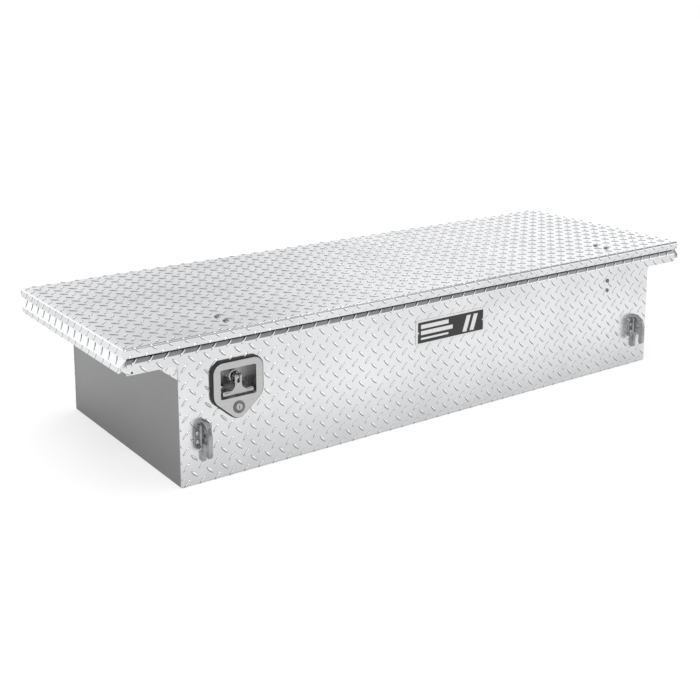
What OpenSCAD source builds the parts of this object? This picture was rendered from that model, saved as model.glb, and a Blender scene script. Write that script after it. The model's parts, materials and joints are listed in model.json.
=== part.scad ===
// Low-profile crossover truck tool box: a folded aluminium tread-plate tub with a
// wing over each bed rail and a one-piece lid hinged along the rear.
// X runs along the box, Y from front (negative) to rear, Z up.
// The origin is the centre of the tub's underside. Sizes are in millimetres.

/* [Overall size] */
// Length of the lid, over both wings
lid_len = 1778; // [1770:1:1784]
// Depth of the lid, front to rear
lid_depth = 610; // [608:1:612]
// Height of the lid's top above the tub's underside
total_h = 343; // [342:1:345]
// Length of the tub between the bed rails
body_len = 1524; // [1520:1:1530]
// Depth of the tub, front to rear
body_depth = 594; // [592:1:596]

/* [Sheet metal] */
// Thickness of every folded sheet
sheet = 3.2; // [3:0.1:3.4]
// Height of the lid's turned-down lip
lip_h = 21; // [20:0.5:22]
// Outside radius of the lid's bends
bend_r = 6; // [5:0.5:8]
// Height of the wings' underside, which rests on the bed rails
saddle_z = 283; // [281:1:285]
// Height at which the front and rear walls start to lean inwards
band_z = 306; // [304:1:307]
// Height of the leaning band
band_h = 15; // [13:1:16]
// How far the band leans inwards
band_in = 9; // [8:0.5:10]
// Radius of the saddle trays' bolt holes
saddle_hole_r = 5.5; // [4.5:0.5:7]
// Distance between the two bolt holes of one saddle tray
saddle_hole_gap = 406; // [300:1:450]

/* [Handle and lock] */
// Place of the handle dish along the box
dish_x = -619; // [-621:1:-617]
// Width of the dish's flange
dish_w = 126; // [124:1:128]
// Width of the dish's pocket
pocket_w = 91; // [90:1:92]
// Depth of the pocket behind the flange's face
pocket_depth = 39.5; // [38:0.5:39.5]
// Length of the handle's crossbar
bar_len = 81; // [76:1:81]
// Distance from the handle's pin to its crossbar
handle_reach = 34; // [33.5:0.5:34]
// Place of the lock along the box
lock_x = -619; // [-621:1:-617]
// Height of the lock
lock_z = 161.5; // [160:0.5:163]

/* [Latches] */
// Place of the left striker along the box
left_striker_x = -610; // [-611:1:-609]
// Place of the right striker along the box
right_striker_x = 645; // [643:1:647]
// Distance of the strikers' middle line behind the front wall
striker_in = 79; // [78:0.5:80]
// Radius of the striker's rod
striker_r = 4.5; // [4:0.1:4.7]
// Travel of the connecting rod
rod_travel = 19.8; // [15:0.1:20]

/* [Trim] */
// Distance of the rope cleats from the middle of the box
cleat_x = 708; // [704:1:712]
// Length of the name plate
plate_w = 228; // [200:1:240]
// Height of the name plate
plate_h = 64; // [50:1:70]

/* [Hidden] */

$fn = 48;
eps = 0.01;
// Gap between parts that pass each other without touching
gap = 0.3;
// Radial clearance of a running fit
running = 0.05;

// Walls
front_y = -body_depth / 2;
rear_y = body_depth / 2;
wing_x = 880;
rim_top = 330;
side_x = body_len / 2 - 1;
leg_z = 250;
corner_r = 10;
drain_x = 869;
drain_z = 288;
drain_r = 2.5;
saddle_hole_x = 822;

// End skirts
skirt_top = 321;
skirt_knee = 318;
skirt_flare_z = 303;
skirt_out = 897;
skirt_bottom = 290;
skirt_front = front_y + 1;
skirt_rear = 283;
skirt_r = 20;

// Rim seal
seal_grip = 2.4;
seal_z = 324;
seal_top = 339.3;

// Lid
lid_under = total_h - sheet;
stiffener_ys = [-70, 130];
stiffener_half = 650;
stiffener_t = 3;
stiffener_depth = 15;
lid_front = front_y - 6;
lid_rear = lid_front + lid_depth;

// Rear hinge
hinge_y = 302.5;
hinge_z = 315.5;
hinge_len = 1700;
knuckle_count = 25;
knuckle_len = hinge_len / knuckle_count;
knuckle_r = 4.5;
hinge_pin_r = 1.8;
leaf_t = 2;
box_leaf_z = 284;
lid_leaf_top = 335;
rivet_r = 2.4;
rivet_head_r = 4.2;
rivet_head_h = 1.4;
rivet_count = 13;
box_rivet_z = 294;
lid_rivet_z = 329;

// Handle dish
gasket_t = 7.5;
flange_t = 3;
gasket_out = 2.5;
dish_top = 270;
dish_shoulder = 184;
dish_tip = 129;
flange_y = front_y - gasket_t - flange_t;
pocket_floor = flange_y + pocket_depth;
pocket_top = 254;
pocket_bottom = 186;
pocket_t = 1.5;
pocket_r = 4;
pocket_back = pocket_floor + 2;
pin_y = -300;
pin_z = 230;
handle_pin_r = 2.5;
shaft_r = 7.5;
shaft_end = -254;
collar_r = 13;
collar_y = -280;
tang_t = 5;
tang_r = 6;
cheek_r = 7;
cheek_w = 12;
bar_r = 6.5;
arm_reach = 28;
arm_y = -262;
arm_t = 5;
stud_dx = 24;
stud_z = 198;

// Lock
plug_r = 8;
housing_r = 10.8;
bezel_r = 14.5;
bezel_t = 2.8;
housing_back = -266;
cam_y = -262;
cam_t = 2.5;
cam_len = 28;

// Latches: places are measured from the striker's rod
striker_y = front_y + striker_in;
striker_z = 302;
striker_half = 20;
case_t = 3;
case_in = 10;
case_left = -39;
case_right = 22;
case_bottom = 250;
case_top = 320;
bracket_z = 215;
bracket_top = 300;
slot_w = 11;
rotor_dx = -20;
rotor_dz = -10;
rotor_t = 8;
rotor_pin_r = 4;
pawl_dx = -12;
pawl_z = 262;
pawl_pin_r = 3;
latch_bolt_dx = -55;
latch_bolt_z = [239, 267];
latch_bolt_r = 3.2;
latch_bolt_head = 5.5;

// Connecting rod
rod_r = 4;
rod_y = -248;
rod_z = 258;
rod_start = left_striker_x - 35;
rod_end = right_striker_x - 31;
tab_t = 3;
tab_dx = pawl_dx - rod_travel - tab_t;
tab_bottom = 234;
tab_top = 246;
guide_xs = [-430, -110, 210, 500];

// Gas struts: places in the Y-Z plane, with the lid closed
strut_x = 743;
wall_stud = [272.5, 235.5];
lid_stud = [-17.5, 307.5];
strut_vec = lid_stud - wall_stud;
strut_len = norm(strut_vec);
strut_angle = atan2(strut_vec[1], strut_vec[0]);
strut_half = 7;
stud_r = 5;
cylinder_r = 9;
strut_rod_r = 4;
cylinder_start = 16;
cylinder_end = 262;
bore_start = 120;
rod_inner = 125;
bracket_x = 752.5;

// Rope cleats: outline points are [distance out from the wall, height]
cleat_t = 13;
cleat_base_w = 44;
cleat_base_t = 5;
cleat_base_z = [84, 140];
cleat_bolt_dx = 14;
cleat_bolt_z = [101, 121];
cleat_bolt_r = 2.6;
cleat_outline = [[0, 53], [9, 53], [9, 96], [17, 96], [17, 70], [26, 66], [35, 74],
    [35, 122], [27, 136], [12, 149], [0, 150]];
cleat_radii = [2, 3.5, 3.9, 3.9, 3, 4, 7, 9, 8, 7, 2];
cleat_eye = [21, 118];
cleat_eye_r = 4.5;

// Name plate
plate_x = 8;
plate_z = 236;
plate_t = 1.5;
plate_rivet_dx = plate_w / 2 - 7;

// One corner of an outline, rounded to radius r
function corner(a, p, b, r) =
    let (
        u = (a - p) / norm(a - p),
        v = (b - p) / norm(b - p),
        half = acos(max(-1, min(1, u * v))) / 2,
        mid = (u + v) / norm(u + v),
        centre = p + mid * r / sin(half),
        from = p + u * r / tan(half) - centre,
        to = p + v * r / tan(half) - centre,
        a0 = atan2(from[1], from[0]),
        turn = atan2(to[1], to[0]) - a0,
        sweep = turn > 180 ? turn - 360 : turn < -180 ? turn + 360 : turn,
        steps = 8
    )
    [for (i = [0 : steps]) centre + r * [cos(a0 + sweep * i / steps), sin(a0 + sweep * i / steps)]];

// A closed outline with every corner rounded to its own radius
function rounded(points, radii) =
    let (n = len(points))
    [for (i = [0 : n - 1])
        each corner(points[(i + n - 1) % n], points[i], points[(i + 1) % n], radii[i])];

// Extrudes a Y-Z outline along X, centred on x
module along_x(length, x = 0) {
    translate([x - length / 2, 0, 0])
        rotate([90, 0, 90])
            linear_extrude(length) children();
}

// Extrudes an X-Z outline along Y, from y0 to y1
module along_y(y0, y1) {
    translate([0, y1, 0])
        rotate([90, 0, 0])
            linear_extrude(y1 - y0) children();
}

// A round bar along X, from x0 to x1
module bar_x(x0, x1, y, z, r) {
    translate([x0, y, z])
        rotate([0, 90, 0]) cylinder(h = x1 - x0, r = r);
}

// A round bar along Y, from y0 to y1
module bar_y(y0, y1, x, z, r) {
    translate([x, y1, z])
        rotate([90, 0, 0]) cylinder(h = y1 - y0, r = r);
}

// A box given by its lowest and highest corners
module block(low, high) {
    translate(low) cube(high - low);
}

// A low round head on an X-Z face at height z; it grows towards negative Y
module head_y(x, y, z, r, h) {
    translate([x, y, z])
        rotate([90, 0, 0]) {
            cylinder(h = h * 0.5, r = r);
            translate([0, 0, h * 0.5]) cylinder(h = h * 0.5, r1 = r, r2 = r * 0.6);
        }
}

module mirrored(side) {
    if (side < 0) mirror([1, 0, 0]) children();
    else children();
}

// Tub ----------------------------------------------------------------------

// Section of the front wall: upright sheet, leaning band and rim
module wall_section() {
    shift = sheet * tan(atan2(band_in, band_h) / 2);
    polygon([
        [front_y, 0],
        [front_y, band_z],
        [front_y + band_in, band_z + band_h],
        [front_y + band_in, rim_top],
        [front_y + band_in + sheet, rim_top],
        [front_y + band_in + sheet, band_z + band_h - shift],
        [front_y + sheet, band_z - shift],
        [front_y + sheet, 0]
    ]);
}

// Space between the front and rear walls, seen along X
module tub_inside_section() {
    shift = sheet * tan(atan2(band_in, band_h) / 2);
    half = body_depth / 2 - sheet;
    polygon([
        [-half, 0],
        [-half, band_z - shift],
        [-half + band_in, band_z + band_h - shift],
        [-half + band_in, rim_top],
        [half - band_in, rim_top],
        [half - band_in, band_z + band_h - shift],
        [half, band_z - shift],
        [half, 0]
    ]);
}

// Outline of a wing's front or rear plate, with a filleted corner under the saddle
module wing_outline() {
    half = body_len / 2;
    low = saddle_z - corner_r;
    translate([half, saddle_z]) square([wing_x - half, rim_top - saddle_z]);
    difference() {
        translate([half, low]) square([corner_r, corner_r + eps]);
        translate([half + corner_r, low]) circle(r = corner_r);
    }
}

// Plate that closes the front of a wing, in line with the front wall
module wing_plate(side) {
    color("gainsboro") mirrored(side) difference() {
        intersection() {
            along_x(2 * wing_x) wall_section();
            along_y(front_y - 1, front_y + band_in + sheet + 1) wing_outline();
        }
        bar_y(front_y - 1, front_y + sheet + 1, drain_x, drain_z, drain_r);
    }
}
module left_wing_front() wing_plate(-1);
module right_wing_front() wing_plate(1);

module wing_rear(side) {
    color("gainsboro") difference() {
        mirror([0, 1, 0]) wing_plate(side);
        each_rivet() bar_y(rear_y - sheet - 1, rear_y + 1, 0, box_rivet_z, rivet_r);
    }
}
module left_wing_rear() wing_rear(-1);
module right_wing_rear() wing_rear(1);

module front_wall() {
    latch_bolt_x = right_striker_x + latch_bolt_dx;
    color("gainsboro") difference() {
        along_x(body_len) wall_section();
        block(
            [dish_x - pocket_w / 2 - pocket_t - gap, front_y - 1, pocket_bottom - pocket_t - gap],
            [dish_x + pocket_w / 2 + pocket_t + gap, front_y + sheet + 1,
                pocket_top + pocket_t + gap]);
        bar_y(front_y - 1, front_y + sheet + 1, lock_x, lock_z, housing_r + gap);
        for (z = latch_bolt_z)
            bar_y(front_y - 1, front_y + sheet + 1, latch_bolt_x, z, latch_bolt_r);
        each_cleat_bolt() bar_y(front_y - 1, front_y + sheet + 1, 0, 0, cleat_bolt_r);
    }
}

module rear_wall() {
    color("gainsboro") difference() {
        mirror([0, 1, 0]) along_x(body_len) wall_section();
        each_rivet() bar_y(rear_y - sheet - 1, rear_y + 1, 0, box_rivet_z, rivet_r);
    }
}

module floor_pan() {
    half = body_depth / 2 - sheet;
    color("darkgray") block([-side_x + sheet, -half, 0], [side_x - sheet, half, sheet]);
}

module side_wall(side) {
    half = body_depth / 2 - sheet;
    color("darkgray") mirrored(side) difference() {
        block([side_x - sheet, -half, 0], [side_x, half, saddle_z]);
        bar_x(side_x - sheet - 1, side_x + 1, wall_stud[0], wall_stud[1], strut_rod_r);
    }
}
module left_side_wall() side_wall(-1);
module right_side_wall() side_wall(1);

// Inner leg down the side wall, flat saddle over the rail, and upright end rim
module saddle_tray(side) {
    color("gainsboro") mirrored(side) difference() {
        intersection() {
            along_y(front_y, rear_y) polygon([
                [side_x, leg_z],
                [side_x + sheet, leg_z],
                [side_x + sheet, saddle_z],
                [wing_x, saddle_z],
                [wing_x, rim_top],
                [wing_x - sheet, rim_top],
                [wing_x - sheet, saddle_z + sheet],
                [side_x, saddle_z + sheet]
            ]);
            along_x(2 * wing_x + 2) tub_inside_section();
        }
        for (y = [-1, 1])
            translate([saddle_hole_x, y * saddle_hole_gap / 2, saddle_z - 1])
                cylinder(h = sheet + 2, r = saddle_hole_r);
    }
}
module left_saddle_tray() saddle_tray(-1);
module right_saddle_tray() saddle_tray(1);

module end_skirt(side) {
    lean = atan2(skirt_out - wing_x - sheet, skirt_knee - skirt_flare_z);
    shift = sheet * tan(lean / 2);
    color("gainsboro") mirrored(side) intersection() {
        along_y(skirt_front, skirt_rear) polygon([
            [wing_x, skirt_top],
            [wing_x + sheet, skirt_top],
            [wing_x + sheet, skirt_knee],
            [skirt_out, skirt_flare_z],
            [skirt_out, skirt_bottom],
            [skirt_out - sheet, skirt_bottom],
            [skirt_out - sheet, skirt_flare_z - shift],
            [wing_x, skirt_knee - shift]
        ]);
        along_x(2 * skirt_out + 2) polygon(rounded(
            [[skirt_front, skirt_bottom], [skirt_rear, skirt_bottom],
                [skirt_rear, skirt_top], [skirt_front, skirt_top]],
            [4, skirt_r, 1, 1]));
    }
}
module left_end_skirt() end_skirt(-1);
module right_end_skirt() end_skirt(1);

// A rectangular ring, grown outwards and inwards from the rim sheet
module rim_ring(grow) {
    x = wing_x + grow;
    y = body_depth / 2 - band_in + grow;
    wall = sheet + 2 * grow;
    difference() {
        square([2 * x, 2 * y], center = true);
        square([2 * (x - wall), 2 * (y - wall)], center = true);
    }
}

module rim_seal() {
    color("dimgray") difference() {
        translate([0, 0, seal_z]) linear_extrude(seal_top - seal_z) rim_ring(seal_grip);
        translate([0, 0, seal_z - 1]) linear_extrude(rim_top - seal_z + 1) rim_ring(0);
    }
}

// Rear hinge ----------------------------------------------------------------

module each_rivet() {
    step = hinge_len / rivet_count;
    for (i = [0 : rivet_count - 1])
        translate([(i + 0.5) * step - hinge_len / 2, 0, 0]) children();
}

// Knuckles of one leaf: odd is 0 for the tub's leaf and 1 for the lid's
module knuckles(odd, r, bite) {
    for (i = [odd : 2 : knuckle_count - 1])
        bar_x(i * knuckle_len - hinge_len / 2 + bite, (i + 1) * knuckle_len - hinge_len / 2 - bite,
            hinge_y, hinge_z, r);
}

module hinge_box_leaf() {
    color("silver") difference() {
        union() {
            difference() {
                block([-hinge_len / 2, rear_y, box_leaf_z], [hinge_len / 2, rear_y + leaf_t, hinge_z]);
                knuckles(1, knuckle_r + gap, -gap);
            }
            knuckles(0, knuckle_r, gap / 2);
        }
        bar_x(-hinge_len / 2 - 1, hinge_len / 2 + 1, hinge_y, hinge_z, hinge_pin_r);
        each_rivet() bar_y(rear_y - 1, rear_y + leaf_t + 1, 0, box_rivet_z, rivet_r);
    }
}

module hinge_lid_leaf() {
    leaf_y = lid_rear - sheet - leaf_t;
    color("silver") difference() {
        union() {
            difference() {
                block([-hinge_len / 2, leaf_y, hinge_z], [hinge_len / 2, leaf_y + leaf_t, lid_leaf_top]);
                knuckles(0, knuckle_r + gap, -gap);
            }
            knuckles(1, knuckle_r, gap / 2);
        }
        bar_x(-hinge_len / 2 - 1, hinge_len / 2 + 1, hinge_y, hinge_z, hinge_pin_r + running);
        each_rivet() bar_y(leaf_y - 1, leaf_y + leaf_t + 1, 0, lid_rivet_z, rivet_r);
    }
}

module hinge_pin() {
    color("gray") bar_x(-hinge_len / 2, hinge_len / 2, hinge_y, hinge_z, hinge_pin_r);
}

// A rivet through y0 to y1, with a low head at each end
module rivet(y0, y1, z) {
    bar_y(y0 - eps, y1 + eps, 0, z, rivet_r);
    bar_y(y0 - rivet_head_h, y0, 0, z, rivet_head_r);
    bar_y(y1, y1 + rivet_head_h, 0, z, rivet_head_r);
}

module box_hinge_rivets() {
    color("silver") each_rivet() rivet(rear_y - sheet, rear_y + leaf_t, box_rivet_z);
}

module lid_hinge_rivets() {
    color("silver") each_rivet() rivet(lid_rear - sheet - leaf_t, lid_rear, lid_rivet_z);
}

// Handle dish and lock --------------------------------------------------------

// Shield-shaped outline of the dish, grown by grow
module shield(grow) {
    w = dish_w / 2 + grow;
    polygon(rounded(
        [[dish_x - w, dish_top + grow], [dish_x - w, dish_shoulder - grow / 2],
            [dish_x, dish_tip - grow],
            [dish_x + w, dish_shoulder - grow / 2], [dish_x + w, dish_top + grow]],
        [24 + grow, 30, 24 + grow, 30, 24 + grow]));
}

module pocket_outline(grow) {
    x = pocket_w / 2 + grow;
    polygon(rounded(
        [[dish_x - x, pocket_bottom - grow], [dish_x + x, pocket_bottom - grow],
            [dish_x + x, pocket_top + grow], [dish_x - x, pocket_top + grow]],
        [for (i = [0 : 3]) pocket_r + grow]));
}

module handle_gasket() {
    color("black") difference() {
        along_y(front_y - gasket_t, front_y) shield(gasket_out);
        along_y(front_y - gasket_t - 1, front_y + 1) pocket_outline(pocket_t + gap);
        bar_y(front_y - gasket_t - 1, front_y + 1, lock_x, lock_z, housing_r + gap);
    }
}

module handle_dish() {
    color("silver") difference() {
        union() {
            along_y(flange_y, front_y - gasket_t) shield(0);
            along_y(flange_y, pocket_back) pocket_outline(pocket_t);
        }
        along_y(flange_y - 1, pocket_floor) pocket_outline(0);
        bar_y(flange_y - 1, front_y + 1, lock_x, lock_z, housing_r);
        bar_y(pocket_floor - 1, pocket_back + 1, dish_x, pin_z, shaft_r + running);
    }
}

module dish_studs() {
    color("silver") for (side = [-1, 1])
        head_y(dish_x + side * stud_dx, pocket_floor, stud_z, 8, 5);
}

module lock_housing() {
    color("gray") difference() {
        union() {
            bar_y(flange_y, housing_back, lock_x, lock_z, housing_r);
            bar_y(flange_y - bezel_t, flange_y, lock_x, lock_z, bezel_r);
        }
        bar_y(flange_y - bezel_t - 1, housing_back + 1, lock_x, lock_z, plug_r + running);
    }
}

module lock_plug() {
    face = flange_y - bezel_t + 0.8;
    color("silver") difference() {
        bar_y(face, cam_y, lock_x, lock_z, plug_r);
        block([lock_x - 0.9, face - 1, lock_z - 4], [lock_x + 0.9, face + 9, lock_z + 4]);
    }
}

module lock_cam() {
    color("darkgray") {
        bar_y(cam_y, cam_y + cam_t, lock_x, lock_z, plug_r + 1);
        along_y(cam_y, cam_y + cam_t)
            translate([lock_x - 5, lock_z]) square([10, cam_len]);
    }
}

// Round shaft with a collar on the pocket's floor and a flat tang for the pin
module handle_shaft() {
    color("silver") difference() {
        union() {
            bar_y(collar_y, shaft_end, dish_x, pin_z, shaft_r);
            bar_y(collar_y, pocket_floor - gap, dish_x, pin_z, collar_r);
            block(
                [dish_x - tang_t / 2, pin_y, pin_z - tang_r],
                [dish_x + tang_t / 2, collar_y + 1, pin_z + tang_r]);
            bar_x(dish_x - tang_t / 2, dish_x + tang_t / 2, pin_y, pin_z, tang_r);
        }
        bar_x(dish_x - cheek_w, dish_x + cheek_w, pin_y, pin_z, handle_pin_r + running);
    }
}

// Lever on the shaft's inner end, with a drive peg for the connecting rod
module handle_arm() {
    color("darkgray") difference() {
        union() {
            bar_y(arm_y, arm_y + arm_t, dish_x, pin_z, shaft_r + 5);
            along_y(arm_y, arm_y + arm_t)
                translate([dish_x - 7, pin_z]) square([14, arm_reach]);
            bar_y(arm_y, arm_y + arm_t, dish_x, pin_z + arm_reach, 7);
            bar_y(arm_y, rod_y - rod_r - 0.4, dish_x, pin_z + arm_reach, 3);
        }
        bar_y(arm_y - 1, arm_y + arm_t + 1, dish_x, pin_z, shaft_r);
    }
}

// Forked top, waisted stem and round crossbar
module t_handle() {
    bar_z = pin_z - handle_reach;
    half = cheek_w / 2;
    color("silver") difference() {
        union() {
            bar_x(dish_x - half, dish_x + half, pin_y, pin_z, cheek_r);
            along_y(pin_y - 6, pin_y + 4) polygon([
                [dish_x - half, pin_z],
                [dish_x - half, pin_z - 14],
                [dish_x - half - 3, pin_z - 22],
                [dish_x - half - 9, pin_z - 28],
                [dish_x - half - 17, bar_z + 4],
                [dish_x - half - 17, bar_z],
                [dish_x + half + 17, bar_z],
                [dish_x + half + 17, bar_z + 4],
                [dish_x + half + 9, pin_z - 28],
                [dish_x + half + 3, pin_z - 22],
                [dish_x + half, pin_z - 14],
                [dish_x + half, pin_z]
            ]);
            bar_x(dish_x - bar_len / 2 + bar_r, dish_x + bar_len / 2 - bar_r, pin_y - 1, bar_z, bar_r);
            for (side = [-1, 1])
                translate([dish_x + side * (bar_len / 2 - bar_r), pin_y - 1, bar_z]) sphere(r = bar_r);
        }
        bar_x(dish_x - tang_t / 2 - gap, dish_x + tang_t / 2 + gap, pin_y, pin_z, cheek_r + 1.5);
        bar_x(dish_x - cheek_w, dish_x + cheek_w, pin_y, pin_z, handle_pin_r);
    }
}

module handle_pin() {
    color("gray") bar_x(dish_x - cheek_w / 2, dish_x + cheek_w / 2, pin_y, pin_z, handle_pin_r);
}

// Latches ---------------------------------------------------------------------

// Case plate: an upright plate with a round-bottomed slot for the striker
module case_plate_section() {
    difference() {
        translate([case_left, case_bottom]) square([case_right - case_left, case_top - case_bottom]);
        translate([-slot_w / 2, striker_z]) square([slot_w, case_top]);
        translate([0, striker_z]) circle(d = slot_w);
    }
}

// Two case plates, the bracket that carries them, and the two pivot pins.
// mount_y is the face the bracket is fixed to, foot_x where its foot starts.
module latch_case(x, mount_y, foot_x, foot_z) {
    near = striker_y - case_in - case_t;
    far = striker_y + case_in;
    color("darkgray") difference() {
        translate([x, 0, 0]) {
            along_y(near, near + case_t) case_plate_section();
            along_y(far, far + case_t) case_plate_section();
            block([case_left, mount_y, bracket_z], [case_left + case_t, far + case_t, bracket_top]);
            block([case_left, near, bracket_z], [case_left + case_t, far + case_t, case_top]);
            block([foot_x, mount_y, bracket_z], [case_left + case_t, mount_y + case_t, foot_z]);
            bar_y(near, far + case_t, rotor_dx, striker_z + rotor_dz, rotor_pin_r);
            bar_y(near, far + case_t, pawl_dx, pawl_z, pawl_pin_r);
        }
        bar_x(x + case_left - 1, x + case_left + case_t + 1, rod_y, rod_z, rod_r + 2);
        for (z = latch_bolt_z)
            bar_y(front_y + sheet - 1, front_y + sheet + case_t + 1, x + latch_bolt_dx, z, latch_bolt_r);
    }
}
module left_latch_case() latch_case(left_striker_x, pocket_back, case_left - 14, pocket_top);
module right_latch_case() latch_case(right_striker_x, front_y + sheet, case_left - 26, 278);

module latch_bolts() {
    inner = front_y + sheet + case_t;
    color("gray") for (z = latch_bolt_z)
        translate([right_striker_x + latch_bolt_dx, 0, z]) {
            bar_y(front_y - eps, inner + 7, 0, 0, latch_bolt_r);
            head_y(0, front_y, 0, latch_bolt_head, 4);
            bar_y(inner, inner + 5, 0, 0, latch_bolt_head);
        }
}

// Claw that closes over the striker's rod; drawn about its own pivot
module rotor_section() {
    difference() {
        union() {
            circle(r = 12);
            intersection() {
                circle(r = 33);
                translate([0, -12]) square([33, 34]);
            }
        }
        translate([-rotor_dx, -rotor_dz - slot_w / 2]) square([33, slot_w]);
        translate([-rotor_dx, -rotor_dz]) circle(d = slot_w);
        translate([-1, 12]) square([9, 20]);
        circle(r = rotor_pin_r + running);
    }
}

module rotor(x) {
    color("gray") translate([x + rotor_dx, 0, striker_z + rotor_dz])
        along_y(striker_y - rotor_t / 2, striker_y + rotor_t / 2) rotor_section();
}
module left_rotor() rotor(left_striker_x);
module right_rotor() rotor(right_striker_x);

// Lever under the claw; its tail is pushed by a tab on the connecting rod
module pawl(x) {
    color("gray") translate([x + pawl_dx, 0, pawl_z])
        along_y(striker_y - rotor_t / 2, striker_y + rotor_t / 2) difference() {
            union() {
                circle(r = 6);
                translate([-4, -30]) square([8, 46]);
            }
            circle(r = pawl_pin_r + running);
        }
}
module left_pawl() pawl(left_striker_x);
module right_pawl() pawl(right_striker_x);

module connecting_rod() {
    color("silver") {
        bar_x(rod_start, rod_end, rod_y, rod_z, rod_r);
        block([dish_x - 8, rod_y - rod_r, rod_z - 8], [dish_x + 8, rod_y + rod_r, rod_z + 8]);
        for (x = [left_striker_x, right_striker_x]) {
            block([x + tab_dx, rod_y - rod_r, tab_bottom], [x + tab_dx + tab_t, rod_y + rod_r, rod_z]);
            block([x + tab_dx, rod_y - rod_r, tab_bottom], [x + tab_dx + tab_t, striker_y + 6, tab_top]);
        }
    }
}

module rod_guides() {
    foot = front_y + sheet;
    color("dimgray") for (x = guide_xs)
        difference() {
            union() {
                block([x - 20, foot, rod_z - 15], [x + 20, foot + 3, rod_z + 15]);
                block([x - 5, foot, rod_z - 10], [x + 5, rod_y + 10, rod_z + 10]);
            }
            bar_x(x - 6, x + 6, rod_y, rod_z, rod_r + 0.08);
        }
}

// Lid ---------------------------------------------------------------------------

// A plate edge section with both upper corners rounded; its top is at z = 0
module lid_section(w, h, r) {
    translate([-w / 2, -h]) square([w, h - r]);
    translate([-w / 2 + r, -r - eps]) square([w - 2 * r, r + eps]);
    for (side = [-1, 1])
        translate([side * (w / 2 - r), -r]) circle(r = r);
}

// A block with four rounded upper edges
module lid_block(length, depth, h, r) {
    intersection() {
        along_x(length) lid_section(depth, h, r);
        along_y(-depth / 2, depth / 2) lid_section(length, h, r);
    }
}

module each_striker_leg() {
    for (x = [left_striker_x, right_striker_x])
        for (side = [-1, 1])
            translate([x, striker_y + side * striker_half, 0]) children();
}

module lid_pan() {
    mid_y = (lid_front + lid_rear) / 2;
    difference() {
        translate([0, mid_y, total_h]) lid_block(lid_len, lid_depth, lip_h, bend_r);
        translate([0, mid_y, lid_under])
            lid_block(lid_len - 2 * sheet, lid_depth - 2 * sheet, lip_h, bend_r - sheet);
        each_striker_leg() translate([0, 0, lid_under - 1]) cylinder(h = sheet + 2, r = striker_r);
        each_rivet() bar_y(lid_rear - sheet - 1, lid_rear + 1, 0, lid_rivet_z, rivet_r);
    }
}

// A cutting block over the lid's depth, inside the front and rear bends
module lid_middle(length, low) {
    block([-length / 2, lid_front + bend_r, low], [length / 2, lid_rear - bend_r, total_h + 1]);
}

module lid_skin() {
    color("whitesmoke") intersection() {
        lid_pan();
        lid_middle(lid_len - 2 * bend_r, lid_under - 1);
    }
}

// Bends and turned-down lips along the front and the rear
module lid_long_lips() {
    color("gainsboro") difference() {
        lid_pan();
        lid_middle(lid_len + 2, total_h - lip_h - 1);
    }
}

// Bends and turned-down lips across both ends
module lid_end_lips() {
    color("gainsboro") difference() {
        intersection() {
            lid_pan();
            lid_middle(lid_len + 2, total_h - lip_h - 1);
        }
        lid_middle(lid_len - 2 * bend_r, total_h - lip_h - 2);
    }
}

// Flat flanges of the two T-shaped stiffeners under the lid
module lid_stiffeners() {
    color("silver") for (y = stiffener_ys)
        block([-stiffener_half, y - 25, lid_under - stiffener_t],
            [stiffener_half, y + 25, lid_under]);
}

// Upright webs of the stiffeners
module stiffener_webs() {
    web = stiffener_t / 2;
    color("silver") for (y = stiffener_ys)
        block([-stiffener_half, y - web, lid_under - stiffener_depth],
            [stiffener_half, y + web, lid_under - stiffener_t]);
}

// U-shaped rod that hangs from the lid, with a plate under the sheet
module striker(x) {
    color("silver") {
        for (side = [-1, 1])
            translate([x, striker_y + side * striker_half, striker_z]) {
                cylinder(h = total_h - striker_z, r = striker_r);
                sphere(r = striker_r);
            }
        bar_y(striker_y - striker_half, striker_y + striker_half, x, striker_z, striker_r);
        block([x - 14, striker_y - 32, lid_under - 3], [x + 14, striker_y + 32, lid_under]);
    }
}
module left_striker() striker(left_striker_x);
module right_striker() striker(right_striker_x);

module striker_nuts() {
    color("gray") each_striker_leg() translate([0, 0, total_h]) {
        cylinder(h = 1.2, r = 7.5);
        translate([0, 0, 1.2]) cylinder(h = 2.2, r1 = 6, r2 = 4);
    }
}

// Gas struts ---------------------------------------------------------------------

// Places children on the strut's line: X stays X, and Z runs from wall stud to lid stud
module on_strut(side) {
    mirrored(side) translate([strut_x, wall_stud[0], wall_stud[1]])
        rotate([strut_angle - 90, 0, 0]) children();
}

module eye(r_bore) {
    translate([-strut_half, 0, 0]) rotate([0, 90, 0]) difference() {
        cylinder(h = 2 * strut_half, r = 8);
        if (r_bore > 0) translate([0, 0, -1]) cylinder(h = 2 * strut_half + 2, r = r_bore);
    }
}

module strut_cylinder(side) {
    color("dimgray") on_strut(side) difference() {
        union() {
            eye(0);
            translate([0, 0, 2]) cylinder(h = cylinder_start, r = 5);
            translate([0, 0, cylinder_start])
                cylinder(h = cylinder_end - cylinder_start, r = cylinder_r);
        }
        translate([-cylinder_r, 0, 0]) rotate([0, 90, 0])
            cylinder(h = 2 * cylinder_r, r = stud_r + running);
        translate([0, 0, bore_start]) cylinder(h = cylinder_end, r = strut_rod_r + running);
    }
}

module strut_rod(side) {
    color("silver") on_strut(side) {
        translate([0, 0, rod_inner]) cylinder(h = strut_len - rod_inner, r = strut_rod_r);
        translate([0, 0, strut_len]) eye(0);
    }
}

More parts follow.
